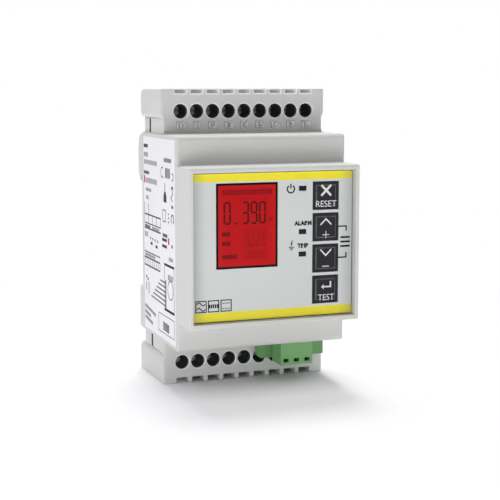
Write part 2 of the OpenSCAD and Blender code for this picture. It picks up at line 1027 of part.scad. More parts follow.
module processor() {
    half = chip_w / 2;
    lead = half + chip_lead;
    color(black)
        translate([0, 0, chip_z])
            block(-half, half, logic_y - chip_t, logic_y, -half, half);
    color(steel)
        translate([0, 0, chip_z])
            block(-lead, lead, logic_y - chip_lead_t, logic_y, -half, half);
}

module transformer_core() {
    y0 = main_y - coil_over - core_t;
    window_x = (core_w - core_leg) / 2 - core_frame;
    color(steel)
        translate([core_x, 0, core_z])
            difference() {
                block(-core_w / 2, core_w / 2, y0, y0 + core_t, -core_h / 2, core_h / 2);
                for (side = [-1, 1])
                    translate([side * (core_leg + window_x) / 2, 0, 0])
                        block(-window_x / 2, window_x / 2, y0 - over, y0 + core_t + over,
                            core_frame - core_h / 2, core_h / 2 - core_frame);
            }
}

module transformer_coil() {
    depth = core_t + 2 * coil_over;
    w = core_w / 2 - core_frame - fit;
    h = core_h / 2 - core_frame - fit;
    leg = core_leg / 2 + fit;
    color("#b5742c")
        translate([core_x, 0, core_z])
            difference() {
                block(-w, w, main_y - depth, main_y, -h, h);
                block(-leg, leg, main_y - depth + coil_over - fit, main_y - coil_over + fit,
                    -h - over, h + over);
            }
}

// Relay case, left edge first
module relay_case(x) {
    color("#2f4f6f")
        facing(main_y - relay_t, main_y)
            soft_rect(x, x + relay_w, relay_z - relay_h / 2, relay_z + relay_h / 2,
                [edge_round, edge_round, edge_round, edge_round]);
}

module trip_relay() {
    relay_case(relay_x);
}

module alarm_relay() {
    relay_case(relay_x + relay_w + relay_gap);
}

module supply_capacitor() {
    neck = 0.5;
    neck_y = 1.5;
    color(black)
        translate([capacitor_x, 0, capacitor_z])
            difference() {
                rod(capacitor_d, main_y - capacitor_h, main_y);
                difference() {
                    rod(capacitor_d + over, main_y - 2 * neck_y, main_y - neck_y);
                    rod(capacitor_d - 2 * neck, main_y - 3 * neck_y, main_y);
                }
            }
}

// Terminal body with a screw well and a wire opening for each clamp, drawn for the upper end
module terminal_block() {
    room = cage_w / 2 + cage_gap;
    color(black)
        difference() {
            block(-board_x, board_x, block_y, main_y, block_z0, block_z1);
            for (x = terminal_x)
                translate([x, 0, 0]) {
                    block(-room, room, cage_y - cage_gap, cage_y + cage_t + cage_gap,
                        block_z1 - cage_l - cage_gap, block_z1 + over);
                    translate([0, 0, screw_z])
                        rod(clamp_head_d + thread_gap, block_y - over, cage_y);
                }
        }
}

module upper_terminal_block() {
    terminal_block();
}

module lower_terminal_block() {
    mirror([0, 0, 1])
        terminal_block();
}

// Slotted screw of one clamp
module clamp_screw() {
    difference() {
        union() {
            rod(clamp_head_d, clamp_head_y, clamp_head_y + clamp_head_t);
            rod(clamp_screw_d, clamp_head_y + bite, cage_y + cage_wall + slot_w);
        }
        block(-clamp_head_d, clamp_head_d, clamp_head_y - over, clamp_head_y + slot_deep,
            -slot_w / 2, slot_w / 2);
    }
}

// Box clamp that the screw draws up around a wire
module clamp_cage() {
    half = cage_w / 2;
    difference() {
        block(-half, half, cage_y, cage_y + cage_t, block_z1 - cage_l, block_z1 - fit);
        block(cage_wall - half, half - cage_wall, cage_y + 2 * cage_wall, cage_y + cage_t - cage_wall,
            block_z1 - cage_l - over, block_z1 + over);
        translate([0, 0, screw_z])
            rod(clamp_screw_d + thread_gap, cage_y - over, cage_y + 2 * cage_wall + over);
    }
}

module terminal_screws() {
    color(steel)
        for (end = [0, 1])
            mirror([0, 0, end])
                for (x = terminal_x)
                    translate([x, 0, screw_z])
                        clamp_screw();
}

module clamp_cages() {
    color(brass)
        for (end = [0, 1])
            mirror([0, 0, end])
                for (x = terminal_x)
                    translate([x, 0, 0])
                        clamp_cage();
}

// Fixed half of the connector: a shroud through the middle tier's underside, with ears below it
module connector_header() {
    ear_x1 = connector_right - header_right;
    ear_x0 = ear_x1 - header_w;
    color(plug_green)
        translate([connector_x, 0, 0])
            difference() {
                union() {
                    block(-shroud_x, shroud_x, shroud_y, logic_y, ear_top, shroud_z);
                    facing(ear_y, logic_y)
                        soft_rect(ear_x0, ear_x1, ear_top - ear_drop, ear_top + bite,
                            [ear_round, ear_edge, 0, 0]);
                }
                block(-socket_x, socket_x, socket_y0, socket_y1, ear_top - over, socket_z);
                for (x = pole_x)
                    translate([x - connector_x, pole_y, socket_z - over])
                        cylinder(d = contact_d + thread_gap, h = shroud_z - socket_z + 2 * over);
            }
}

// Bent pins that run from the plug up through the header and back into the logic board
module header_pins() {
    color(brass)
        for (x = pole_x)
            translate([x, 0, 0]) {
                translate([0, pole_y, contact_z])
                    cylinder(d = contact_d, h = contact_turn_z - contact_z);
                translate([0, pole_y, contact_turn_z])
                    sphere(d = contact_d);
                translate([0, 0, contact_turn_z])
                    rod(contact_d, pole_y, logic_back + contact_tail);
            }
}

module connector_plug() {
    room = clamp_w / 2 + fit / 2;
    color(plug_green)
        translate([connector_x, 0, 0])
            difference() {
                union() {
                    block(-plug_x, plug_x, plug_y, plug_back, plug_z0, plug_z1);
                    block(fit - socket_x, socket_x - fit, socket_y0 + fit, socket_y1 - fit,
                        plug_z1 - bite, tongue_z);
                }
                for (x = pole_x)
                    translate([x - connector_x, 0, 0]) {
                        translate([0, pole_y, clamp_z + clamp_h - over])
                            cylinder(d = contact_bore, h = tongue_z - clamp_z - clamp_h + 2 * over);
                        block(-room, room, pole_y - clamp_t / 2 - fit / 2, pole_y + clamp_t / 2 + fit / 2,
                            plug_z0 - over, clamp_z + clamp_h + fit / 2);
                        block(-window_w / 2, window_w / 2, plug_y - over, pole_y, window_z - window_h / 2,
                            window_z + window_h / 2);
                    }
                for (side = [-1, 1])
                    translate([side * pole_pitch, 0, plug_z1])
                        facing(plug_y - over, plug_y + key_notch_t)
                            polygon([[-key_notch_w / 2, over], [0, -key_notch_h], [key_notch_w / 2, over]]);
            }
}

module plug_clamps() {
    color(steel)
        for (x = pole_x)
            translate([x, pole_y, clamp_z])
                difference() {
                    block(-clamp_w / 2, clamp_w / 2, -clamp_t / 2, clamp_t / 2, 0, clamp_h);
                    block(-clamp_hole / 2, clamp_hole / 2, -clamp_hole / 2, clamp_hole / 2,
                        -over, clamp_h + over);
                }
}

module plug_screws() {
    y0 = plug_y + plug_screw_set;
    color(steel)
        for (x = pole_x)
            translate([x, 0, window_z])
                difference() {
                    rod(plug_screw_d, y0, pole_y - clamp_t / 2);
                    block(-plug_screw_d, plug_screw_d, y0 - over, y0 + plug_slot,
                        -plug_slot / 2, plug_slot / 2);
                }
}

rear_housing();
upper_terminal_cover();
lower_terminal_cover();
front_cover();
rail_clip();
side_label();
front_panel();
panel_overlay();
display_window();
lcd_glass();
backlight();
reset_key();
up_key();
down_key();
test_key();
reset_plunger();
up_plunger();
down_plunger();
test_plunger();
key_switches();
power_lens();
alarm_lens();
trip_lens();
status_leds();
display_board();
logic_board();
main_board();
display_link();
power_link();
board_spacers();
board_screws();
processor();
transformer_core();
transformer_coil();
trip_relay();
alarm_relay();
supply_capacitor();
upper_terminal_block();
lower_terminal_block();
terminal_screws();
clamp_cages();
connector_header();
header_pins();
connector_plug();
plug_clamps();
plug_screws();
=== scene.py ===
"""Looks of a rail-mounted protection relay: finishes, print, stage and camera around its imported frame."""

import math

import bmesh
import bpy
from bpy.props import FloatProperty, FloatVectorProperty, IntProperty, PointerProperty
from mathutils import Matrix, Vector


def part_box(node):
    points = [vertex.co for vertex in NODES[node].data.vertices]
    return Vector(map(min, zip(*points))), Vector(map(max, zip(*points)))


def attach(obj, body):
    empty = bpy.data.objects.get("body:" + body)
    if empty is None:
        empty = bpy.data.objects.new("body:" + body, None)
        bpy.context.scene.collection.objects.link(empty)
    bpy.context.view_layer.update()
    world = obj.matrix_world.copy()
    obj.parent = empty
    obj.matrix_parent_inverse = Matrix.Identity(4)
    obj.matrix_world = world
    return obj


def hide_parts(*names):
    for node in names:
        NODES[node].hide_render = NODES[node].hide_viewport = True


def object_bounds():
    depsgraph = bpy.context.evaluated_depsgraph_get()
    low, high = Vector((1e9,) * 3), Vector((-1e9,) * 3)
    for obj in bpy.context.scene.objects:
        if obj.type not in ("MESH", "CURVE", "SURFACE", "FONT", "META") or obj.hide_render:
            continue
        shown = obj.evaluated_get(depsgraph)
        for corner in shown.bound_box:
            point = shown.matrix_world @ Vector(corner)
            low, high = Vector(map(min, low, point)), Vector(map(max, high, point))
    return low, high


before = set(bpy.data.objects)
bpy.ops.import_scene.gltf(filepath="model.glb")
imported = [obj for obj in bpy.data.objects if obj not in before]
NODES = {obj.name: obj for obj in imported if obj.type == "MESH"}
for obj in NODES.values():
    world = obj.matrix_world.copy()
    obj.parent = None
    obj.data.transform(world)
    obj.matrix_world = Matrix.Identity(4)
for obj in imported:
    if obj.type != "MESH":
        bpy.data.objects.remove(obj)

bl_info = {
    "name": "Protection Relay Looks",
    "version": (1, 0, 0),
    "blender": (4, 5, 0),
    "location": "View3D > Sidebar > Relay",
    "description": "Finishes, print, stage and camera for a rail-mounted protection relay",
    "category": "Object",
}

CAD_LOW, CAD_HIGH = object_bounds()
MM = 0.001
HOUSING = "housing"
KEYS = ("reset", "up", "down", "test")
LENSES = ("power_lens", "alarm_lens", "trip_lens")
TERMINALS = 9
FIRST_NUMBER = 10
SCREW_RADIUS = 1.75 * MM

# Settings that a user would change


def colour(name, description, code):
    """Colour setting from a code of six hexadecimal digits."""
    channels = [int(code[i : i + 2], 16) / 255 for i in (0, 2, 4)]
    linear = [c / 12.92 if c <= 0.04045 else ((c + 0.055) / 1.055) ** 2.4 for c in channels]
    return FloatVectorProperty(
        name=name, description=description, default=(*linear, 1), size=4, min=0, max=1, subtype="COLOR"
    )


def length(name, description, millimetres):
    """Length setting, written in millimetres and kept in metres."""
    return FloatProperty(
        name=name, description=description, default=millimetres * MM, min=0, precision=5, unit="LENGTH"
    )


def angle(name, description, degrees):
    """Angle setting, written in degrees."""
    return FloatProperty(
        name=name, description=description, default=math.radians(degrees), subtype="ANGLE"
    )


def number(name, description, value):
    """Plain factor."""
    return FloatProperty(name=name, description=description, default=value)


class RelayColours(bpy.types.PropertyGroup):
    """Colours of the relay's surfaces."""

    housing: colour("Housing", "Light grey of the mouldings", "DADCD8")
    # Painted shade: a darker grey in the latch slots and on the screw holes' walls.
    slot: colour("Slot", "Shaded grey inside the latch slots and the screw holes", "55554F")
    # Painted highlight: the raised numerals are the housing's plastic drawn lighter; this colour also
    # paints the highlight on the hole rims and notch edges.
    numeral: colour("Numeral", "Raised numerals, lighter than the housing", "FCFCFA")
    # Painted shade: a flat darker sheet round the numerals' feet.
    numeral_foot: colour("Numeral foot", "Shade at the foot of the raised numerals", "A6A8A4")
    panel: colour("Panel", "Silver grey of the printed film", "DADEDB")
    band: colour("Band", "Yellow bands of the film", "F4E81C")
    rim_shade: colour("Rim shade", "Shade on the film beside the bezel's rims", "6C706C")
    ink: colour("Ink", "Dark print on the film", "18191B")
    display: colour("Display", "Backlit red of the display", "B60F14")
    segment: colour("Segment", "Dark segments of the display", "520B0A")
    faint: colour("Faint segment", "Fainter segments of the display", "960D12")
    mask: colour("Mask", "Black border of the display", "080606")
    key: colour("Key", "Dark grey of the keys", "24262B")
    symbol: colour("Symbol", "Light symbols on the keys", "E6E7E6")
    lens: colour("Lens", "Dark indicator windows", "141313")
    connector: colour("Connector", "Green of the plug", "7BB571")
    # Painted shade: the header is drawn a darker green than the plug, standing in for its shadow under the
    # housing.
    header: colour("Header", "Green of the plug's header, a little darker", "70A566")
    label: colour("Label", "White film of the side label", "FAFAFC")
    grey_print: colour("Grey print", "Fine print on the side label", "74757A")
    red_print: colour("Red print", "Red marks on the side label", "B3242B")
    black: colour("Black", "Black plastic of the clip and the terminal bodies", "1B1C1E")
    white: colour("White", "White plastic inside", "E4E4E0")
    board: colour("Board", "Green of the circuit boards", "1F5A38")
    steel: colour("Steel", "Plated steel of screws and posts", "B9BCC0")
    dark_steel: colour("Dark steel", "Dulled steel of the terminals' screws", "A4A7AA")
    brass: colour("Brass", "Clamps and pins", "C9A85A")
    iron: colour("Iron", "Laminated core", "6F7378")
    copper: colour("Copper", "Enamelled winding", "B5742C")
    relay: colour("Relay", "Blue cases of the output relays", "2F4F6F")


class RelaySizes(bpy.types.PropertyGroup):
    """Sizes of edges, print, symbols and shaded places."""

    edge: length("Edge", "Rounding of the mouldings' sharp edges", 0.22)
    small_edge: length("Small edge", "Rounding of small mouldings' edges", 0.12)
    film: length("Film", "Thickness of printed ink", 0.02)
    relief: length("Relief", "Height of the raised numerals", 0.4)
    numeral: length("Numeral", "Height of the raised numerals' figures", 2.0)
    numeral_width: length("Numeral width", "Width of a raised number", 2.6)
    numeral_drop: length("Numeral drop", "Numerals' middle below the screw holes", 4.2)
    numeral_foot: length("Numeral foot", "Width of the shade round a raised numeral", 0.13)
    band: length("Band", "Height of the upper yellow band", 2.3)
    low_band: length("Low band", "Height of the lower yellow band", 2.6)
    rim_shade: length("Rim shade", "Width of the shade on the film beside the bezel's rims", 4.6)
    border: length("Border", "Width of the display's black border", 0.58)
    # Width of the painted highlight along the keys' raised pads.
    pad_highlight_width: length("Rub", "Width of the worn line along the keys' raised pads", 0.3)
    word: length("Word", "Height of the words on the keys", 1.85)
    caption: length("Caption", "Height of the words beside the indicators", 1.35)
    line: length("Line", "Width of the print's lines", 0.42)
    # Places of the painted shade inside the latch slots.
    slot_back: length("Slot back", "Latch slots' middle behind the terminals' faces", 15)
    slot_width: length("Slot width", "Width of the latch slots", 1.9)
    slot_depth: length("Slot depth", "Latch slots' middle inward from the sides", 1.65)
    slot_reach: length("Slot reach", "Depth of the latch slots to each side of their middle", 0.65)
    slot_end: length("Slot end", "Distance of the latch slots' shade from the top and the underside", 0.3)
    hole_width: length("Hole width", "Width of the screw holes with their rims", 5)
    # Painted highlight on the screw holes' front rims, and painted shade on their walls behind.
    hole_highlight_depth: length("Hole rim", "Depth of the screw holes' light rims", 0.5)
    hole_depth: length("Hole depth", "Depth of the screw holes' shade behind their rims", 3)
    notch: length("Notch", "Length of the wire notches behind the terminals' faces", 14)
    notch_width: length("Notch width", "Width of the wire notches", 3.63)
    notch_depth: length("Notch depth", "Depth of the upper wire notches", 1.35)
    # Painted highlight along the upper notches' edges.
    notch_highlight_width: length("Notch rim", "Width of the upper wire notches' light edges", 0.32)
    bars: IntProperty(name="Bars", description="Lines of the menu sign", default=3, min=1)


class RelayStage(bpy.types.PropertyGroup):
    """Camera, light and floor."""

    azimuth: angle("Azimuth", "Camera's turn about the relay", -20.168)
    elevation: angle("Elevation", "Camera's height above the horizon", 7.187)
    distance: length("Distance", "Camera's distance from its target", 372.35)
    target_depth: length("Target depth", "Target in front of the rail seat", 22)
    lens: number("Lens", "Focal length on a 36 mm sensor, in millimetres", 86.63)
    shift_x: number("Shift X", "Sideways shift of the picture", 0.0114)
    shift_y: number("Shift Y", "Upward shift of the picture", -0.0291)
    sky: number("Sky", "Light from all round", 0.5)
    key_light: number("Key light", "Soft light from above and behind", 1.9)
    key_spread: angle("Key spread", "Softness of the key light", 20)
    fill_light: number("Fill light", "Power of the low soft light in front, in watts", 0.123)
    # Painted light on the floor: white mixed over the rendered shadow, rising from the contact outwards,
    # and starting nearer at the lower tier's left end.
    floor_white: number("Floor white", "Share of plain white in the floor around the contact shadow", 0.45)
    contact: length("Contact", "Reach of the contact shadow in front of the relay", 27)
    inset: length("Inset", "Left end of the lower tier that has no contact shadow of its own", 14)


# Materials


def add(tree, kind, inputs=None, **settings):
    """New node with its settings, and its inputs set or linked by name or place."""
    node = tree.nodes.new(kind)
    for name, value in settings.items():
        setattr(node, name, value)
    for name, value in (inputs or {}).items():
        if isinstance(value, bpy.types.NodeSocket):
            tree.links.new(value, node.inputs[name])
        else:
            node.inputs[name].default_value = value
    return node


def math_node(tree, operation, *values):
    """Result of a sum on one to three values or sockets."""
    return add(tree, "ShaderNodeMath", dict(enumerate(values)), operation=operation).outputs[0]


def mix_colour(tree, share, first, second):
    """Colour between two others."""
    return add(tree, "ShaderNodeMix", {0: share, 6: first, 7: second}, data_type="RGBA").outputs[2]


def product(tree, first, *others):
    """Product of values, or 1 where every test gives 1."""
    for other in others:
        first = math_node(tree, "MULTIPLY", first, other)
    return first


def vector_length(tree, place):
    """Length of a vector."""
    return add(tree, "ShaderNodeVectorMath", {0: place}, operation="LENGTH").outputs["Value"]


def axes_of(tree, place):
    """The three parts of a vector."""
    return add(tree, "ShaderNodeSeparateXYZ", {0: place}).outputs


def noise(tree, place, scale, detail=2.0):
    """Soft random pattern between 0 and 1."""
    return add(tree, "ShaderNodeTexNoise", {"Vector": place, "Scale": scale, "Detail": detail}).outputs[0]


def ramp(tree, value, start, end, low=0.0, high=1.0, kind="SMOOTHSTEP"):
    """Value that goes from low to high between a start and an end."""
    ends = {"Value": value, "From Min": start, "From Max": end, "To Min": low, "To Max": high}
    return add(tree, "ShaderNodeMapRange", ends, interpolation_type=kind).outputs[0]


def new_group(name, inputs, outputs):
    """Shader group with named sockets, its input node's outputs and its output node."""
    tree = bpy.data.node_groups.new(name, "ShaderNodeTree")
    kinds = {"Vector": "NodeSocketVector", "Colour": "NodeSocketColor"}
    for socket in inputs:
        tree.interface.new_socket(socket, in_out="INPUT", socket_type=kinds.get(socket, "NodeSocketFloat"))
    for socket in outputs:
        tree.interface.new_socket(socket, in_out="OUTPUT", socket_type=kinds.get(socket, "NodeSocketFloat"))
    return tree, add(tree, "NodeGroupInput").outputs, add(tree, "NodeGroupOutput")


SURFACE_INPUTS = ("Vector", "Colour", "Roughness", "Grain", "Drift")
SURFACE_OUTPUTS = ("Colour", "Roughness", "Height")
FINISHES = {}


def surface_group(name, pattern, gloss_swing):
    """Shader group whose colour and roughness swing with a pattern, which also gives its height."""
    if name in bpy.data.node_groups:
        return bpy.data.node_groups[name]
    tree, given, result = new_group(name, SURFACE_INPUTS, SURFACE_OUTPUTS)
    height, swing = pattern(tree, given["Vector"], given["Grain"])
    value = math_node(tree, "MULTIPLY_ADD", swing, given["Drift"], 1.0)
    tone = add(tree, "ShaderNodeHueSaturation", {"Value": value, "Color": given["Colour"]}).outputs[0]
    gloss = math_node(tree, "MULTIPLY_ADD", swing, gloss_swing, given["Roughness"])
    for socket, source in (("Colour", tone), ("Roughness", gloss), ("Height", height)):
        tree.links.new(source, result.inputs[socket])
    return tree


def grain_group():
    """Fine moulded grain with a soft drift of colour, shared by all plastics, films and inks."""

    def pattern(tree, place, grain):
        """Height of the grain, and its swing with the drift."""
        fine = noise(tree, place, grain, 3.0)
        both = math_node(tree, "MULTIPLY_ADD", fine, 0.4, noise(tree, place, 45.0))
        return fine, math_node(tree, "SUBTRACT", both, 0.7)

    return surface_group("Moulded grain", pattern, 0.22)


def drawn_group():
    """Drawn and plated metal: fine lines one way with small stains."""

    def pattern(tree, place, grain):
        """Height of the lines, and their swing with the stains."""
        stretched = add(tree, "ShaderNodeMapping", {"Vector": place, "Scale": (0.08, 1.0, 1.0)})
        lines = noise(tree, stretched.outputs[0], grain, 4.0)
        both = math_node(tree, "ADD", lines, noise(tree, place, 300.0, 3.0))
        return lines, math_node(tree, "SUBTRACT", both, 1.0)

    return surface_group("Drawn metal", pattern, 0.3)


def blank_material(name):
    """Material with one principled shader, its tree and the object's own coordinates."""
    material = bpy.data.materials.new(name)
    material.use_nodes = True
    tree = material.node_tree
    tree.nodes.clear()
    shader = add(tree, "ShaderNodeBsdfPrincipled")
    output = add(tree, "ShaderNodeOutputMaterial")
    tree.links.new(shader.outputs[0], output.inputs["Surface"])
    place = add(tree, "ShaderNodeTexCoord").outputs["Object"]
    return material, tree, shader, place


def finish(name, tint, roughness, grain=2600.0, drift=0.08, depth=0.02, group=grain_group, **shader_values):
    """Material from one of the shared surface groups. Depth is the height of its grain in millimetres."""
    if name in FINISHES:
        return FINISHES[name]
    material, tree, shader, place = blank_material(name)
    FINISHES[name] = material
    surface = add(tree, "ShaderNodeGroup", node_tree=group())
    values = {"Colour": tuple(tint), "Roughness": roughness, "Grain": grain, "Drift": drift}
    for socket, value in values.items():
        surface.inputs[socket].default_value = value
    tree.links.new(place, surface.inputs["Vector"])
    bump = add(tree, "ShaderNodeBump", {"Height": surface.outputs["Height"], "Distance": depth * MM})
    tree.links.new(surface.outputs["Colour"], shader.inputs["Base Color"])
    tree.links.new(surface.outputs["Roughness"], shader.inputs["Roughness"])
    tree.links.new(bump.outputs[0], shader.inputs["Normal"])
    for socket, value in shader_values.items():
        shader.inputs[socket.replace("_", " ")].default_value = value
    return material


def opened(material):
    """Tree of a finish, with its shader, its surface group and the object's own coordinates."""
    nodes = {node.type: node for node in material.node_tree.nodes}
    place = nodes["TEX_COORD"].outputs["Object"]
    return material.node_tree, nodes["BSDF_PRINCIPLED"], nodes["GROUP"], place


def terminal_row():
    """Place of the first screw of the upper row, across and up, and the row's pitch."""
    low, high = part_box("terminal_screws")
    pitch = (high.x - low.x - 2 * SCREW_RADIUS) / (TERMINALS - 1)
    return low.x + SCREW_RADIUS, high.z - SCREW_RADIUS, pitch


def in_latch_slots(tree, axes, face, sizes):
    """1 inside the latch slots of the back moulding, where painted shade goes."""
    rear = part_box("rear_housing")[1]
    from_middle = math_node(tree, "ABSOLUTE", axes[0])
    deep = math_node(tree, "COMPARE", from_middle, rear.x - sizes.slot_depth, sizes.slot_reach)
    along = math_node(tree, "COMPARE", axes[1], face + sizes.slot_back, sizes.slot_width / 2)
    low = math_node(tree, "LESS_THAN", math_node(tree, "ABSOLUTE", axes[2]), rear.z - sizes.slot_end)
    return product(tree, deep, along, low)


def by_terminals(tree, axes, half):
    """Distance across from the nearest terminal, and 1 within the row and half a width beyond it."""
    first, _, pitch = terminal_row()
    across = math_node(tree, "WRAP", math_node(tree, "SUBTRACT", axes[0], first), pitch / 2, -pitch / 2)
    row = (TERMINALS - 1) / 2 * pitch
    return across, math_node(tree, "COMPARE", axes[0], first + row, row + half)


def at_screw_holes(tree, axes, sizes):
    """1 on the walls and the rims of the screw holes, where painted shade and a painted highlight go."""
    half = sizes.hole_width / 2
    across, in_row = by_terminals(tree, axes, half)
    up = math_node(tree, "SUBTRACT", math_node(tree, "ABSOLUTE", axes[2]), terminal_row()[1])
    offset = add(tree, "ShaderNodeCombineXYZ", {"X": across, "Y": up})
    close = math_node(tree, "LESS_THAN", vector_length(tree, offset.outputs[0]), half)
    return product(tree, close, in_row)


def notch_highlight_mask(tree, axes, sizes):
    """1 along the edges of the upper wire notches, where the painted highlight goes."""
    half = sizes.notch_width / 2 + sizes.notch_highlight_width
    across, in_row = by_terminals(tree, axes, half)
    close = math_node(tree, "LESS_THAN", math_node(tree, "ABSOLUTE", across), half)
    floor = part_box("upper_terminal_cover")[1].z - sizes.notch_depth
    above = math_node(tree, "GREATER_THAN", axes[2], floor - sizes.notch_highlight_width)
    return product(tree, close, in_row, above)


def housing_plastic(colours, sizes):
    """Light grey plastic with painted shade inside slots and holes, and a painted highlight on the front
    rims of holes and the edges of notches.
    """
    material = finish("housing_plastic", colours.housing, 0.5, grain=3200.0, drift=0.05, depth=0.03)
    tree, shader, surface, place = opened(material)
    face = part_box("upper_terminal_cover")[0].y
    axes = axes_of(tree, place)
    holes = at_screw_holes(tree, axes, sizes)
    # Painted shade on the screw holes' walls behind their rims and inside the latch slots.
    half = sizes.hole_depth / 2
    behind = math_node(tree, "COMPARE", axes[1], face + sizes.hole_highlight_depth + half, half)
    slots = in_latch_slots(tree, axes, face, sizes)
    shaded = math_node(tree, "MAXIMUM", slots, product(tree, holes, behind))
    # Painted highlight: the front rims of the screw holes and the upper notches' edges take the numerals'
    # lighter colour.
    at_front = math_node(tree, "LESS_THAN", axes[1], face + sizes.hole_highlight_depth)
    edges = math_node(tree, "MAXIMUM", holes, notch_highlight_mask(tree, axes, sizes))
    pale = product(tree, edges, at_front)
    tone = mix_colour(tree, pale, surface.outputs["Colour"], tuple(colours.numeral))
    tone = mix_colour(tree, shaded, tone, tuple(colours.slot))
    tree.links.new(tone, shader.inputs["Base Color"])
    return material


def print_ink(name, tint):
    """Dull ink of the film and the label."""
    return finish(name, tint, 0.5, drift=0.2, Specular_IOR_Level=0.2)


def metal(name, tint, roughness):
    """Plated or drawn metal."""
    drawn = {"grain": 9000.0, "drift": 0.3, "depth": 0.01, "group": drawn_group, "Metallic": 1.0}
    return finish(name, tint, roughness, **drawn)


def black_plastic(colours):
    """Black plastic of the clip and of pieces inside."""
    return finish("black_plastic", colours.black, 0.45)


def white_plastic(colours):
    """White plastic of pieces inside."""
    return finish("white_plastic", colours.white, 0.45)


def green_plastic(name, tint):
    """Green plastic of the connector."""
    return finish(name, tint, 0.42, grain=2400.0, drift=0.1, depth=0.02)


def brass(colours):
    """Brass of clamps and pins."""
    return metal("brass", colours.brass, 0.3)


def panel_film(colours, sizes):
    """Silver film with a yellow band above and below, shaded beside the bezel's left and right rims."""
    low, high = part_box("panel_overlay")
    middle, half = (low.x + high.x) / 2, (high.x - low.x) / 2
    darkest = 0.3
    material = finish("printed_film", colours.panel, 0.42, grain=5200.0, drift=0.07, depth=0.008)
    tree, shader, surface, place = opened(material)
    axes = axes_of(tree, place)
    in_upper = math_node(tree, "GREATER_THAN", axes[2], high.z - sizes.band)
    in_lower = math_node(tree, "LESS_THAN", axes[2], low.z + sizes.low_band)
    in_bands = math_node(tree, "ADD", in_upper, in_lower)
    tone = mix_colour(tree, in_bands, surface.outputs["Colour"], tuple(colours.band))
    from_middle = math_node(tree, "ABSOLUTE", math_node(tree, "SUBTRACT", axes[0], middle))
    shade = ramp(tree, from_middle, half - sizes.rim_shade, half, high=darkest)
    tone = mix_colour(tree, shade, tone, tuple(colours.rim_shade))
    tree.links.new(tone, shader.inputs["Base Color"])
    return material


def display_face(colours, sizes):
    """Backlit red display with a black border, a little brighter towards its edges."""
    low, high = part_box("display_window")
    middle, half = (low + high) / 2, (high - low) / 2
    glow_width = 3.2 * MM
    material, tree, shader, place = blank_material("display_face")
    centred = add(tree, "ShaderNodeMapping", {"Vector": place, "Location": -middle})
    axes = axes_of(tree, centred.outputs[0])
    from_sides = math_node(tree, "SUBTRACT", half.x, math_node(tree, "ABSOLUTE", axes[0]))
    from_ends = math_node(tree, "SUBTRACT", half.z, math_node(tree, "ABSOLUTE", axes[2]))
    to_edge = math_node(tree, "MINIMUM", from_sides, from_ends)
    in_border = math_node(tree, "LESS_THAN", to_edge, sizes.border)
    rim = ramp(tree, to_edge, sizes.border, glow_width, 1.0, 0.0)
    cells = noise(tree, place, 140.0)
    patchy = math_node(tree, "MULTIPLY_ADD", cells, 0.3, math_node(tree, "MULTIPLY", rim, 0.6))
    red = tuple(colours.display)
    bright = (min(1.0, red[0] * 1.15), red[1] * 2.0, red[2] * 1.5, 1.0)
    glow = mix_colour(tree, patchy, red, bright)
    tone = mix_colour(tree, in_border, glow, tuple(colours.mask))
    tree.links.new(tone, shader.inputs["Base Color"])
    tree.links.new(tone, shader.inputs["Emission Color"])
    shader.inputs["Emission Strength"].default_value = 0.12
    shader.inputs["Specular IOR Level"].default_value = 0.07
    gloss = math_node(tree, "MULTIPLY_ADD", cells, 0.12, 0.24)
    tree.links.new(gloss, shader.inputs["Roughness"])
    return material


def key_rubber(colours, sizes):
    """Dark key plastic with a painted highlight in places along the edge of each raised pad."""
    soft = {"grain": 1800.0, "drift": 0.35, "depth": 0.05, "Specular_IOR_Level": 0.2}
    material = finish("key_rubber", colours.key, 0.55, **soft)
    tree, shader, surface, place = opened(material)
    first, second = middle_of(KEYS[0] + "_key"), middle_of(KEYS[1] + "_key")
    pitch = first.z - second.z
    low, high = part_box(KEYS[0] + "_key")
    slope = 1 * MM
    pad = (high.z - low.z) / 2 - slope
    axes = axes_of(tree, place)
    across = math_node(tree, "ABSOLUTE", math_node(tree, "SUBTRACT", axes[0], first.x))
    along = math_node(tree, "WRAP", math_node(tree, "SUBTRACT", axes[2], first.z), pitch / 2, -pitch / 2)
    reach = math_node(tree, "MAXIMUM", across, math_node(tree, "ABSOLUTE", along))
    from_edge = math_node(tree, "ABSOLUTE", math_node(tree, "SUBTRACT", reach, pad))
    # Painted highlight along the pads' edges, in the symbols' light colour, broken up by noise.
    pad_highlight_line = math_node(tree, "LESS_THAN", from_edge, sizes.pad_highlight_width / 2)
    share = product(tree, pad_highlight_line, noise(tree, place, 700.0), 0.3)
    tone = mix_colour(tree, share, surface.outputs["Colour"], tuple(colours.symbol))
    tree.links.new(tone, shader.inputs["Base Color"])
    return material


def board_laminate(colours):
    """Green board with lighter tracks and a glassy coat."""
    material, tree, shader, place = blank_material("board_laminate")
    turned = add(tree, "ShaderNodeMapping", {"Vector": place, "Rotation": (math.pi / 2, 0.0, 0.0)})
    green = tuple(colours.board)
    track = (green[0] * 2.0, green[1] * 1.5, green[2] * 1.8, 1.0)
    tracks = add(
        tree,
        "ShaderNodeTexBrick",
        {"Vector": turned.outputs[0], "Color1": green, "Color2": green, "Mortar": track, "Scale": 190.0},
    )
    tracks.inputs["Mortar Size"].default_value = 0.012
    weave = noise(tree, place, 2500.0)
    bump = add(tree, "ShaderNodeBump", {"Height": weave, "Distance": 0.01 * MM})
    tree.links.new(tracks.outputs["Color"], shader.inputs["Base Color"])
    tree.links.new(bump.outputs[0], shader.inputs["Normal"])
    gloss = math_node(tree, "MULTIPLY_ADD", weave, 0.2, 0.25)
    tree.links.new(gloss, shader.inputs["Roughness"])
    return material


# Meshes


def own_object(name, data):
    """Object at the origin, in the scene."""
    made = bpy.data.objects.new(name, data)
    bpy.context.scene.collection.objects.link(made)
    return made


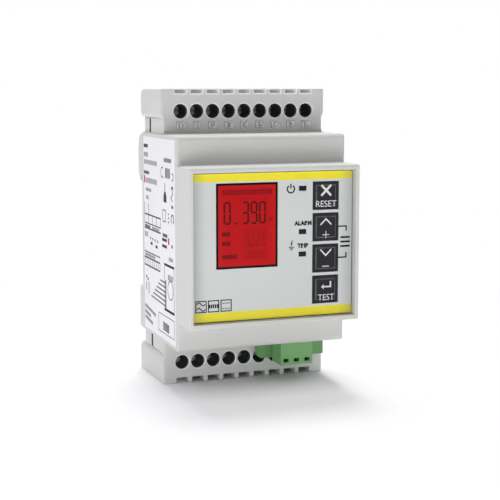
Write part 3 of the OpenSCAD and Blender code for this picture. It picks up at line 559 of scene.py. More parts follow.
def mesh_from(bm, name):
    """Plain mesh from mesh code, with the mesh code freed."""
    mesh = bpy.data.meshes.new(name)
    bm.to_mesh(mesh)
    bm.free()
    return mesh


def settled(worker):
    """Plain mesh of an object with its modifiers applied. The object is removed."""
    bpy.context.view_layer.update()
    graph = bpy.context.evaluated_depsgraph_get()
    mesh = bpy.data.meshes.new_from_object(
        worker.evaluated_get(graph), preserve_all_data_layers=True, depsgraph=graph
    )
    bpy.data.objects.remove(worker)
    return mesh


def dress(piece, material):
    """Gives a piece one material on all its faces."""
    piece.data.materials.clear()
    piece.data.materials.append(material)


def dress_nodes(material, *nodes):
    """Gives CAD nodes one material."""
    for node in nodes:
        dress(NODES[node], material)


def flat_areas(bm, same=math.cos(math.radians(0.5))):
    """Area of the flat region that each face is part of."""
    areas = {}
    for start in bm.faces:
        if start in areas:
            continue
        areas[start] = 0.0
        region = [start]
        for face in region:
            for other in (o for edge in face.edges for o in edge.link_faces):
                if other not in areas and other.normal.dot(face.normal) > same:
                    areas[other] = 0.0
                    region.append(other)
        total = sum(face.calc_area() for face in region)
        areas.update(dict.fromkeys(region, total))
    return areas


def even_shading(mesh, smooth=math.radians(40)):
    """Keeps flat faces flat: a corner's normal is the mean of its smooth neighbours', by their areas."""
    bm = bmesh.new()
    bm.from_mesh(mesh)
    areas = flat_areas(bm)
    limit = math.cos(smooth)
    normals = []
    for face in bm.faces:
        for vertex in face.verts:
            near = [other for other in vertex.link_faces if other.normal.dot(face.normal) > limit]
            total = sum((other.normal * areas[other] for other in near), Vector())
            normals.append(total.normalized())
    bm.free()
    mesh.normals_split_custom_set(normals)


def keep_in_box(mesh, low, high):
    """Brings corners that the rounding pushed out back to the piece's own box."""
    for vertex in mesh.vertices:
        vertex.co = [min(max(place, least), most) for place, least, most in zip(vertex.co, low, high)]


def moulding(name, node, body, material, edge, cut=None):
    """Copy of a CAD node with its sharp edges rounded, which stands for that node.

    A cut across its depth keeps long thin triangles away from close corners.
    """
    weld, snap = 0.002 * MM, 0.1 * MM
    bm = bmesh.new()
    bm.from_mesh(NODES[node].data)
    bmesh.ops.remove_doubles(bm, verts=bm.verts, dist=weld)
    if cut is not None:
        parts = bm.verts[:] + bm.edges[:] + bm.faces[:]
        bmesh.ops.bisect_plane(bm, geom=parts, dist=snap, plane_co=(0, cut, 0), plane_no=(0, 1, 0))
    worker = own_object(name + "_worker", mesh_from(bm, name + "_worker"))
    worker.data.polygons.foreach_set("use_smooth", [True] * len(worker.data.polygons))
    bevel = worker.modifiers.new("Edges", "BEVEL")
    bevel.limit_method = "ANGLE"
    bevel.angle_limit = math.radians(35)
    bevel.width = edge
    bevel.segments = 2
    bevel.use_clamp_overlap = False
    bevel.loop_slide = False
    piece = own_object(name, settled(worker))
    keep_in_box(piece.data, *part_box(node))
    even_shading(piece.data)
    piece.data.name = name
    dress(piece, material)
    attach(piece, body)
    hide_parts(node)


# Place of print that is joined with other print before it is laid on its face
FLAT = Matrix.Identity(4)


def front_place(x, y, z):
    """Sheet that faces the front, with u along X and v along Z."""
    return Matrix(((1, 0, 0, x), (0, 0, -1, y), (0, 1, 0, z), (0, 0, 0, 1)))


def left_place(x, y, z):
    """Sheet that faces the left, with u towards the front and v along Z."""
    return Matrix(((0, 0, -1, x), (-1, 0, 0, y), (0, 1, 0, z), (0, 0, 0, 1)))


def corners(u, v, width, height):
    """Corners of a rectangle about a middle point, in order."""
    a, b = width / 2, height / 2
    return [(u - a, v - b), (u + a, v - b), (u + a, v + b), (u - a, v + b)]


class Print:
    """Flat shapes on one sheet, raised by a thickness and laid on a face."""

    def __init__(self):
        self.bm = bmesh.new()

    def outline(self, points):
        """Filled shape with corners in order."""
        self.bm.faces.new([self.bm.verts.new((u, v, 0)) for u, v in points])

    def bar(self, u, v, width, height):
        """Rectangle about a middle point."""
        self.outline(corners(u, v, width, height))

    def stroke(self, points, width, closed=False):
        """Line of one width with mitred corners."""
        path = [Vector(p) for p in points]
        count = len(path)
        sides = []
        for i, here in enumerate(path):
            before = path[i - 1] if closed or i else None
            after = path[(i + 1) % count] if closed or i < count - 1 else None
            ways = [(b - a).normalized() for a, b in ((before, here), (here, after)) if a and b]
            normals = [Vector((-w.y, w.x)) for w in ways]
            miter = sum(normals, Vector((0, 0))).normalized()
            reach = width / 2 / max(0.4, miter.dot(normals[0]))
            sides.append([self.bm.verts.new((*(here + miter * s * reach), 0)) for s in (1, -1)])
        for i in range(count if closed else count - 1):
            (a, b), (c, d) = sides[i], sides[(i + 1) % count]
            self.bm.faces.new((a, b, d, c))

    def arc(self, u, v, radius, start, end, width):
        """Part of a ring, with its angles in degrees."""
        steps = 28
        turns = [math.radians(start + (end - start) * i / steps) for i in range(steps + 1)]
        closed = abs(end - start) >= 360
        points = [(u + radius * math.cos(t), v + radius * math.sin(t)) for t in turns]
        self.stroke(points[:-1] if closed else points, width, closed)

    def cross(self, u, v, reach, width, turn):
        """Cross of four arms as one outline, turned about its middle."""
        half = width / 2
        points = []
        for quarter in range(4):
            spin = turn + quarter * math.pi / 2
            c, s = math.cos(spin), math.sin(spin)
            for x, y in ((half, half), (half, reach), (-half, reach)):
                points.append((u + x * c - y * s, v + x * s + y * c))
        self.outline(points)

    def words(self, text, u, v, height, width, bold=0.0):
        """Plain capitals or figures of one height, drawn to a width about a middle point."""
        curve = bpy.data.curves.new("words", "FONT")
        curve.body = text
        curve.offset = bold
        worker = own_object("words", curve)
        mesh = settled(worker)
        corners = [vertex.co for vertex in mesh.vertices]
        low = Vector((min(c.x for c in corners), min(c.y for c in corners), 0))
        high = Vector((max(c.x for c in corners), max(c.y for c in corners), 0))
        middle = (low + high) / 2
        size = high - low
        shape = Matrix.Diagonal((width / size.x, height / size.y, 1, 1)) @ Matrix.Translation(-middle)
        mesh.transform(Matrix.Translation((u, v, 0)) @ shape)
        self.bm.from_mesh(mesh)
        bpy.data.meshes.remove(mesh)
        bpy.data.curves.remove(curve)

    def laid(self, name, place, thickness, material):
        """Closed mesh of the shapes in one material, standing out from the face by the thickness."""
        bm = self.bm
        weld = 0.0005 * MM
        bmesh.ops.remove_doubles(bm, verts=bm.verts, dist=weld)
        bmesh.ops.recalc_face_normals(bm, faces=bm.faces)
        rise = Vector((0, 0, thickness))
        flat, rims = bm.faces[:], [edge for edge in bm.edges if edge.is_boundary]
        raised = {vertex: bm.verts.new(vertex.co + rise) for vertex in bm.verts[:]}
        for edge in rims:
            a, b = edge.verts
            bm.faces.new((a, b, raised[b], raised[a]), edge.link_faces[0])
        for face in flat:
            bm.faces.new([raised[vertex] for vertex in face.verts], face)
        bmesh.ops.recalc_face_normals(bm, faces=bm.faces)
        bm.transform(place)
        mesh = mesh_from(bm, name)
        mesh.materials.append(material)
        return mesh


# Geometry Nodes


def node_tree(name, inputs):
    """Geometry tree with named inputs, its group input and its group output."""
    tree = bpy.data.node_groups.new(name, "GeometryNodeTree")
    tree.interface.new_socket("Geometry", in_out="INPUT", socket_type="NodeSocketGeometry")
    for socket, kind in inputs.items():
        tree.interface.new_socket(socket, in_out="INPUT", socket_type=kind)
    tree.interface.new_socket("Geometry", in_out="OUTPUT", socket_type="NodeSocketGeometry")
    return tree, add(tree, "NodeGroupInput").outputs, add(tree, "NodeGroupOutput")


def end_tree(tree, row, material, result):
    """Ends a tree: its instances become plain mesh in one material."""
    solid = add(tree, "GeometryNodeRealizeInstances", {0: row.outputs[0]}).outputs[0]
    inked = add(tree, "GeometryNodeSetMaterial", {"Geometry": solid, "Material": material})
    tree.links.new(inked.outputs[0], result.inputs[0])
    return tree


def bars_tree():
    """Bars in a row: each is a small box, turned on the sheet and set a step from the last."""
    name = "Row of bars"
    if name in bpy.data.node_groups:
        return bpy.data.node_groups[name]
    inputs = {
        "Count": "NodeSocketInt",
        "First": "NodeSocketVector",
        "Step": "NodeSocketVector",
        "Size": "NodeSocketVector",
        "Turn": "NodeSocketVector",
        "Material": "NodeSocketMaterial",
    }
    tree, given, result = node_tree(name, inputs)
    line = add(
        tree,
        "GeometryNodeMeshLine",
        {"Count": given["Count"], "Start Location": given["First"], "Offset": given["Step"]},
    )
    bar = add(tree, "GeometryNodeMeshCube", {"Size": given["Size"]})
    row = add(
        tree,
        "GeometryNodeInstanceOnPoints",
        {"Points": line.outputs[0], "Instance": bar.outputs[0], "Rotation": given["Turn"]},
    )
    return end_tree(tree, row, given["Material"], result)


def segments_tree():
    """Bars on marked points: each point holds the length and the turn of its own bar."""
    name = "Bars on points"
    if name in bpy.data.node_groups:
        return bpy.data.node_groups[name]
    inputs = {"Width": "NodeSocketFloat", "Thickness": "NodeSocketFloat", "Material": "NodeSocketMaterial"}
    tree, given, result = node_tree(name, inputs)
    reach = add(tree, "GeometryNodeInputNamedAttribute", {"Name": "reach"}, data_type="FLOAT")
    turn = add(tree, "GeometryNodeInputNamedAttribute", {"Name": "turn"}, data_type="FLOAT")
    size = add(
        tree,
        "ShaderNodeCombineXYZ",
        {"X": reach.outputs[0], "Y": given["Width"], "Z": given["Thickness"]},
    )
    spin = add(tree, "ShaderNodeCombineXYZ", {"Z": turn.outputs[0]})
    bar = add(tree, "GeometryNodeMeshCube", {"Size": (1.0, 1.0, 1.0)})
    row = add(
        tree,
        "GeometryNodeInstanceOnPoints",
        {
            "Points": given["Geometry"],
            "Instance": bar.outputs[0],
            "Rotation": spin.outputs[0],
            "Scale": size.outputs[0],
        },
    )
    return end_tree(tree, row, given["Material"], result)


def grown(tree, values, start=None):
    """Plain mesh that a geometry tree makes from named values."""
    worker = own_object("worker", start or bpy.data.meshes.new("worker"))
    modifier = worker.modifiers.new("Tree", "NODES")
    modifier.node_group = tree
    for item in tree.interface.items_tree:
        if item.in_out == "INPUT" and item.name in values:
            modifier[item.identifier] = values[item.name]
    return settled(worker)


def bar_row(count, first, step, size, turn, material):
    """Row of bars on a sheet, lying on the sheet's plane."""
    values = {
        "Count": count,
        "First": (*first, size[2] / 2),
        "Step": (*step, 0.0),
        "Size": size,
        "Turn": (0.0, 0.0, turn),
        "Material": material,
    }
    return grown(bars_tree(), values)


# The seven bars of a figure: middle across, middle up, and whether it stands
FIGURE_BARS = {
    "a": (0, 1, False),
    "b": (0.5, 0.5, True),
    "c": (0.5, -0.5, True),
    "d": (0, -1, False),
    "e": (-0.5, -0.5, True),
    "f": (-0.5, 0.5, True),
    "g": (0, 0, False),
}
FIGURES = {"0": "abcdef", "3": "abcdg", "5": "acdfg", "9": "abcdfg"}


def figure_points(rows):
    """Points that mark the bars of display figures.

    A row is text, its first figure's middle, and the figures' height, width, pitch and gap.
    """
    point_size = 2.4
    places, reaches, turns = [], [], []
    for text, u, v, height, width, pitch, gap in rows:
        for sign in text:
            if sign == ".":
                places.append((u - pitch / 2, v - height / 2, 0))
                reaches.append(gap * point_size)
                turns.append(0.0)
                continue
            for bar in FIGURES[sign]:
                across, up, standing = FIGURE_BARS[bar]
                places.append((u + across * width, v + up * height / 2, 0))
                reaches.append((height / 2 if standing else width) - gap)
                turns.append(math.pi / 2 if standing else 0.0)
            u += pitch
    mesh = bpy.data.meshes.new("figures")
    mesh.from_pydata(places, [], [])
    for name, values in (("reach", reaches), ("turn", turns)):
        mesh.attributes.new(name, "FLOAT", "POINT").data.foreach_set("value", values)
    return mesh


def joined(name, meshes, place):
    """One mesh from several, with their materials kept, laid on a face."""
    whole = bpy.data.meshes.new(name)
    bm = bmesh.new()
    for mesh in meshes:
        start = len(bm.faces)
        shift = len(whole.materials)
        for material in mesh.materials:
            whole.materials.append(material)
        bm.from_mesh(mesh)
        bm.faces.ensure_lookup_table()
        for face in bm.faces[start:]:
            face.material_index += shift
        bpy.data.meshes.remove(mesh)
    bm.transform(place)
    bm.to_mesh(whole)
    bm.free()
    return whole


def shown(name, mesh, body):
    """New piece that rides on a body and takes its finish from a slot."""
    piece = own_object(name, mesh)
    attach(piece, body)
    return piece


def middle_of(node):
    """Middle of a CAD node."""
    low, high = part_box(node)
    return (low + high) / 2


# Rows of bars on the side label, by ink, in millimetres from its upper left corner: count, first place,
# step, width and height of a bar, and turn in degrees
LABEL_ROWS = {
    "dark": [
        (5, 0.8, 2.9, 0.95, 0, 0.85, 1.1),
        (6, 0.7, 11.2, 1.05, 0, 0.85, 1.0),
        (7, 23.0, 6.2, 1.1, 0, 0.75, 1.2),
        (4, 24.4, 10.0, 1.25, 0, 0.8, 3.0),
        (2, 30.9, 14.0, 0, 5.6, 1.6, 0.9),
        (3, 27.0, 22.0, 0, 1.2, 0.9, 0.5),
        (4, 21.4, 28.8, 1.2, 0, 1.0, 1.0),
        (2, 22.6, 30.2, 0, 1.9, 5.0, 0.9),
        (2, 9.6, 24.3, 0, 4.4, 18.0, 0.45),
        (1, 9.6, 27.1, 0, 0, 18.0, 0.35),
        (6, 1.4, 28.0, 1.05, 0, 0.8, 0.8),
        (2, 9.0, 38.0, 0, 2.5, 17.4, 0.45),
        (1, 9.0, 36.2, 0, 0, 17.4, 0.35),
        (2, 2.4, 44.2, 1.6, 0.6, 1.2, 0.8),
        (5, 21.2, 56.6, 1.25, 0.05, 0.9, 2.6),
        (2, 8.4, 33.0, 5.6, 0.4, 2.2, 0.9),
        (4, 7.2, 31.4, 2.6, 0.1, 0.9, 0.7),
        (1, 30.4, 31.3, 0, 0, 1.2, 0.9),
    ],
    "grey": [
        (5, 0.8, 5.6, 0.95, 0, 0.6, 1.4),
        (14, 0.9, 7.9, 1.05, 0, 0.6, 1.4),
        (12, 2.8, 13.6, 1.05, 0, 0.6, 1.6),
        (6, 2.7, 16.5, 1.05, 0, 0.7, 1.0),
        (3, 2.9, 19.0, 1.1, 0, 0.6, 1.2),
        (5, 0.8, 25.7, 4.4, 0, 0.3, 2.6),
        (7, 9.6, 28.0, 1.15, 0, 0.8, 0.8),
        (9, 0.8, 39.2, 2.1, 0, 0.3, 2.3),
        (11, 1.4, 37.1, 1.05, 0, 0.7, 0.9),
        (4, 27.4, 35.4, 1.1, 0, 0.7, 1.1),
        (4, 26.4, 41.0, 1.35, 0, 0.8, 1.7),
        (11, 0.9, 53.6, 1.1, 0.14, 0.8, 1.1, 7),
        (6, 0.9, 55.5, 1.1, 0.14, 0.8, 1.1, 7),
        (8, 0.9, 57.2, 1.1, 0.14, 0.8, 1.1, 7),
        (1, 2.2, 47.2, 0, 0, 0.5, 2.6),
        (3, 1.2, 30.6, 1.3, 0, 0.7, 1.6),
    ],
    "red": [
        (1, 1.0, 13.4, 0, 0, 1.4, 2.3),
        (1, 26.9, 30.2, 0, 0, 1.3, 2.0),
    ],
}


# Figures on the display: text, first figure's middle across and down as shares of the window, and height,
# width, pitch and gap in millimetres
BIG_FIGURES = [
    ("0.", 0.175, 0.348, 6.0, 1.7, 5.2, 0.3),
    ("390", 0.472, 0.348, 6.0, 1.65, 2.6, 0.3),
]
SMALL_FIGURES = [
    ("0.390", 0.5, 0.592, 1.95, 0.95, 1.7, 0.12),
    ("0.005", 0.5, 0.705, 1.95, 0.95, 1.7, 0.12),
    ("0.005", 0.5, 0.845, 1.95, 0.95, 1.7, 0.12),
]
# Rows of marks on the display, which stand for small signs: count, and first place across and down
DARK_MARKS = [(4, 0.105, 0.592), (4, 0.105, 0.705), (7, 0.105, 0.86)]
FAINT_MARKS = [(2, 0.87, 0.43)]


# Operators


class RELAY_OT_stage(bpy.types.Operator):
    """Camera, light, pale floor and white surroundings."""

    bl_idname = "relay.stage"
    bl_label = "Stage"

    def execute(self, context):
        stage = context.scene.relay_stage
        context.scene.view_settings.view_transform = "Standard"
        self.camera(context, stage)
        self.floor(stage)
        self.surroundings(context, stage)
        self.key(stage)
        self.fill(stage)
        return {"FINISHED"}

    def camera(self, context, stage):
        """Camera at the photograph's place."""
        data = bpy.data.cameras.new("camera")
        data.lens, data.sensor_width = stage.lens, 36
        data.shift_x, data.shift_y = stage.shift_x, stage.shift_y
        data.clip_start = 0.01
        turn, rise = stage.azimuth, stage.elevation
        level = math.cos(rise)
        back = Vector((math.sin(turn) * level, -math.cos(turn) * level, math.sin(rise)))
        camera = own_object("camera", data)
        camera.location = Vector((0, -stage.target_depth, 0)) + back * stage.distance
        camera.rotation_euler = back.to_track_quat("Z", "Y").to_euler()
        context.scene.camera = camera

    def key(self, stage):
        """Soft sun that throws the shadow to the front."""
        data = bpy.data.lights.new("key_lamp", "SUN")
        data.energy, data.angle = stage.key_light, stage.key_spread
        data.color = (1.0, 1.01, 0.985)
        towards = Vector((0.08, 0.3, 0.95))
        own_object("key_lamp", data).rotation_euler = towards.to_track_quat("Z", "Y").to_euler()

    def fill(self, stage):
        """Low soft light in front, which lifts the front faces."""
        data = bpy.data.lights.new("fill_lamp", "AREA")
        data.shape = "RECTANGLE"
        data.size, data.size_y = 0.4, 0.03
        data.energy = stage.fill_light
        lamp = own_object("fill_lamp", data)
        lamp.location = (-0.07, -0.17, CAD_LOW.z + 0.008)
        aim = Vector((0, CAD_LOW.y, CAD_LOW.z * 0.2)) - lamp.location
        lamp.rotation_euler = aim.to_track_quat("-Z", "Y").to_euler()

    def seen_ray(self, tree):
        """1 for rays that show the stage itself: from the camera, a reflection or through glass."""
        path = add(tree, "ShaderNodeLightPath").outputs
        seen = math_node(tree, "MAXIMUM", path["Is Camera Ray"], path["Is Glossy Ray"])
        return math_node(tree, "MAXIMUM", seen, path["Is Transmission Ray"])

    def floor(self, stage):
        """Pale card under the relay, plain white away from the contact shadow; near the relay, painted
        white lightens the rendered shadow by a share that grows with distance from the lower terminal
        cover.
        """
        size, fade_start, fade_end, shadow_start = 6.0, 0.09, 0.2, 3 * MM
        bm = bmesh.new()
        bm.faces.new([bm.verts.new((x, y, CAD_LOW.z)) for x, y in corners(0, 0, size, size)])
        floor = own_object("floor", mesh_from(bm, "floor"))
        material, tree, shader, place = blank_material("floor_card")
        shader.inputs["Roughness"].default_value = 0.9
        shader.inputs["Specular IOR Level"].default_value = 0.0
        fibre = noise(tree, place, 30.0)
        tone = mix_colour(tree, fibre, (0.955, 0.942, 0.965, 1), (0.96, 0.948, 0.97, 1))
        tree.links.new(tone, shader.inputs["Base Color"])
        far = ramp(tree, vector_length(tree, place), fade_start, fade_end, kind="LINEAR")
        gap = self.from_footprint(tree, place, stage)
        # Painted white over the rendered shadow, growing with distance from the footprint.
        near = ramp(tree, gap, shadow_start, stage.contact, high=stage.floor_white, kind="LINEAR")
        white = add(tree, "ShaderNodeEmission", {"Color": (1, 1, 1, 1), "Strength": 1.0})
        share = product(tree, self.seen_ray(tree), math_node(tree, "MAXIMUM", near, far))
        blend = add(tree, "ShaderNodeMixShader", {0: share, 1: shader.outputs[0], 2: white.outputs[0]})
        output = next(node for node in tree.nodes if node.type == "OUTPUT_MATERIAL")
        tree.links.new(blend.outputs[0], output.inputs["Surface"])
        dress(floor, material)

    def from_footprint(self, tree, place, stage):
        """Distance on the floor from the lower terminal cover, with its left end moved in so that the
        painted white lightens the shadow sooner there.
        """
        low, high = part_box("lower_terminal_cover")
        low = low + Vector((stage.inset, 0, 0))
        middle, half = (low + high) / 2, (high - low) / 2
        steps = (("SUBTRACT", middle), ("ABSOLUTE", None), ("SUBTRACT", half), ("MAXIMUM", Vector()))
        for operation, other in steps:
            inputs = {0: place} if other is None else {0: place, 1: other}
            place = add(tree, "ShaderNodeVectorMath", inputs, operation=operation).outputs[0]
        return vector_length(tree, place)

    def surroundings(self, context, stage):
        """White surroundings, whose light is stronger from behind."""
        world = bpy.data.worlds.new("surroundings")
        context.scene.world = world
        world.use_nodes = True
        tree = world.node_tree
        tree.nodes.clear()
        way = axes_of(tree, add(tree, "ShaderNodeTexCoord").outputs["Generated"])
        strength = product(tree, ramp(tree, way[1], -0.6, 0.6, 0.5, 1.5), stage.sky)
        light = add(tree, "ShaderNodeBackground", {"Color": (1, 0.975, 1.03, 1), "Strength": strength})
        white = add(tree, "ShaderNodeBackground", {"Color": (1, 1, 1, 1), "Strength": 1.0})
        seen = self.seen_ray(tree)
        blend = add(tree, "ShaderNodeMixShader", {0: seen, 1: light.outputs[0], 2: white.outputs[0]})
        output = add(tree, "ShaderNodeOutputWorld")
        tree.links.new(blend.outputs[0], output.inputs["Surface"])


class RELAY_OT_housing(bpy.types.Operator):
    """The grey mouldings, with their edges rounded."""

    bl_idname = "relay.housing"
    bl_label = "Housing"

    def execute(self, context):
        sizes = context.scene.relay_sizes
        grey = housing_plastic(context.scene.relay_colours, sizes)
        pieces = {
            "rear_moulding": "rear_housing",
            "upper_cover_moulding": "upper_terminal_cover",
            "lower_cover_moulding": "lower_terminal_cover",
            "front_moulding": "front_cover",
        }
        past = 0.5 * MM
        behind_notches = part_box("upper_terminal_cover")[0].y + sizes.notch + past
        for name, node in pieces.items():
            moulding(name, node, HOUSING, grey, sizes.edge, behind_notches)
        return {"FINISHED"}


class RELAY_OT_numerals(bpy.types.Operator):
    """Raised numerals under the upper screw holes, drawn lighter than the housing as a painted highlight,
    over a flat sheet of painted shade at their feet.
    """

    bl_idname = "relay.numerals"
    bl_label = "Numerals"

    def execute(self, context):
        colours, sizes = context.scene.relay_colours, context.scene.relay_sizes
        pale = finish("numeral_highlight_plastic", colours.numeral, 0.45, drift=0.05)
        shade = finish("numeral_shade", colours.numeral_foot, 0.5, drift=0.05)
        # The raised numerals are drawn lighter as a painted highlight; the wider flat copy beneath is
        # painted shade at their feet.
        meshes = [
            self.figures(sizes, 0.0, 0.03, sizes.relief, pale),
            self.figures(sizes, sizes.numeral_foot, 0.08, sizes.film, shade),
        ]
        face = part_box("upper_terminal_cover")[0].y
        height = terminal_row()[1]
        mesh = joined("terminal_numerals", meshes, front_place(0, face, height - sizes.numeral_drop))
        shown("terminal_numerals", mesh, HOUSING)
        return {"FINISHED"}

    def figures(self, sizes, margin, bold, thickness, material):
        """Numbers under the holes, each wider and higher by a margin on every side."""
        narrow = {"11": 0.67}
        first, _, pitch = terminal_row()
        height = sizes.numeral + 2 * margin
        sheet = Print()
        for i in range(TERMINALS):
            text = str(FIRST_NUMBER + i)
            width = sizes.numeral_width * narrow.get(text, 1.0) + 2 * margin
            sheet.words(text, first + i * pitch, 0, height, width, bold=bold)
        return sheet.laid("terminal_figures", FLAT, thickness, material)


class RELAY_OT_panel(bpy.types.Operator):
    """The panel plate, its film and the print on it."""

    bl_idname = "relay.panel"
    bl_label = "Panel"

    def execute(self, context):
        colours, sizes = context.scene.relay_colours, context.scene.relay_sizes
        dress_nodes(panel_film(colours, sizes), "panel_overlay")
        dress_nodes(finish("panel_plastic", colours.panel, 0.5), "front_panel")
        ink = print_ink("panel_ink", colours.ink)
        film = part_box("panel_overlay")[0]
        sheet = Print()
        self.captions(sheet, sizes)
        self.menu_brackets(sheet, sizes)
        self.pictograms(sheet, sizes, film)
        meshes = [sheet.laid("panel_signs", FLAT, sizes.film, ink), self.menu_bars(sizes, ink)]
        mesh = joined("panel_print", meshes, front_place(0, film.y, 0))
        shown("panel_print", mesh, HOUSING)
        return {"FINISHED"}

    def captions(self, sheet, sizes):
        """Words and signs beside the indicators."""
        above, right = 2.5 * MM, 0.1 * MM
        power, alarm, trip = (middle_of(node) for node in LENSES)
        for text, lens, width in (("ALARM", alarm, 5.5 * MM), ("TRIP", trip, 3.4 * MM)):
            sheet.words(text, lens.x + right, lens.z + above, sizes.caption, width, bold=0.06)
        u, radius = power.x - 3.75 * MM, 1.12 * MM
        sheet.arc(u, power.z - 0.1 * MM, radius, 125, 415, sizes.line)
        sheet.bar(u, power.z + 0.75 * MM, sizes.line, 1.4 * MM)
        u, v = trip.x - 3.5 * MM, trip.z + above - 0.7 * MM
        bolt = [(0.35, 2.3), (-0.1, 1.5), (0.25, 1.4), (-0.15, 0.6)]
        sheet.stroke([(u + a * MM, v + b * MM) for a, b in bolt], 0.28 * MM)
        for i in range(3):
            sheet.bar(u, v + (0.3 - 0.4 * i) * MM, (1.7 - 0.6 * i) * MM, 0.24 * MM)

    def menu_brackets(self, sheet, sizes):
        """Lines from the two middle keys to the menu sign."""
        gap, across, along = 4.05 * MM, 2.6 * MM, 1.4 * MM
        for key, way in (("up_key", -1), ("down_key", 1)):
            middle = middle_of(key)
            start, v = middle.x + gap, middle.z
            u = start + across
            sheet.stroke([(start, v), (u, v), (u, v + way * along)], sizes.line)

    def menu_bars(self, sizes, ink):
        """The bars of the menu sign."""
        up, down = middle_of("up_key"), middle_of("down_key")
        gap, pitch = 6.35 * MM, 1.32 * MM
        u = up.x + gap
        v = (up.z + down.z) / 2 - pitch * (sizes.bars - 1) / 2
        size = (3.05 * MM, 0.56 * MM, sizes.film)
        return bar_row(sizes.bars, (u, v), (0.0, pitch), size, 0.0, ink)

    def pictograms(self, sheet, sizes, film):
        """Three framed waveforms above the lower band."""
        width, height, pitch, line = 3.4 * MM, 3.5 * MM, 3.8 * MM, 0.3 * MM
        left, above, reach = 0.7 * MM, 0.2 * MM, width * 0.36
        levels = ((0.22, -0.22), (0.0,), (0.2, -0.25))
        v = film.z + sizes.low_band + above + height / 2
        for i, rows in enumerate(levels):
            u = film.x + left + width / 2 + i * pitch
            sheet.stroke(corners(u, v, width - line, height - line), line, closed=True)
            for level in rows:
                self.wave(sheet, i, u, v + level * height, reach, line)

    def wave(self, sheet, kind, u, v, reach, line):
        """One waveform: a sine, a block of half waves or a row of pulses."""
        if kind == 0:
            turns = [i / 16 for i in range(17)]
            points = [(u + reach * (2 * t - 1), v + 0.45 * MM * math.sin(2 * math.pi * t)) for t in turns]
            sheet.stroke(points, line)
        elif kind == 1:
            for i in range(5):
                sheet.bar(u + reach * (i - 2) / 2, v, reach * 0.36, 1.1 * MM)
        else:
            for i in range(4):
                sheet.bar(u + reach * (i - 1.5) / 2, v, reach * 0.3, line)


class RELAY_OT_display(bpy.types.Operator):
    """The red display with its figures."""

    bl_idname = "relay.display"
    bl_label = "Display"

    def execute(self, context):
        colours, sizes = context.scene.relay_colours, context.scene.relay_sizes
        dress_nodes(display_face(colours, sizes), "display_window")
        dress_nodes(finish("display_glass", colours.segment, 0.15, depth=0.002), "lcd_glass")
        dress_nodes(white_plastic(colours), "backlight")
        flat = {"drift": 0.2, "depth": 0.002, "Specular_IOR_Level": 0.1}
        dark = finish("display_segment", colours.segment, 0.4, **flat)
        faint = finish("display_faint", colours.faint, 0.4, **flat)
        low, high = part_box("display_window")
        width, height = high.x - low.x, high.z - low.z

        def spot(across, down):
            """Place on the window from shares of its width and height."""
            return low.x + across * width, high.z - down * height

        def figures(rows, bar, ink):
            """Figures of seven bars each."""
            placed = [(text, *spot(u, v), *(size * MM for size in rest)) for text, u, v, *rest in rows]
            values = {"Width": bar, "Thickness": sizes.film, "Material": ink}
            return grown(segments_tree(), values, figure_points(placed))

        meshes = [
            figures(BIG_FIGURES, 0.54 * MM, dark),
            figures(SMALL_FIGURES, 0.26 * MM, faint),
            self.scale(spot(0.12, 0.105), width, sizes.film, faint),
        ]
        for rows, ink in ((DARK_MARKS, dark), (FAINT_MARKS, faint)):
            meshes += [self.mark(spot(u, v), count, sizes.film, ink) for count, u, v in rows]
        mesh = joined("display_segments", meshes, front_place(0, low.y, 0))
        shown("display_segments", mesh, HOUSING)
        return {"FINISHED"}

    def scale(self, first, width, thickness, ink):
        """Row of blocks near the top of the display."""
        count, share, fill, height = 13, 0.76, 0.9, 1.5 * MM
        step = share * width / (count - 1)
        return bar_row(count, first, (step, 0.0), (step * fill, height, thickness), 0.0, ink)

    def mark(self, first, count, thickness, ink):
        """Short row of upright marks that stands for a small unit sign."""
        pitch, width, height = 0.66 * MM, 0.45 * MM, 1.25 * MM
        return bar_row(count, first, (pitch, 0.0), (width, height, thickness), 0.0, ink)


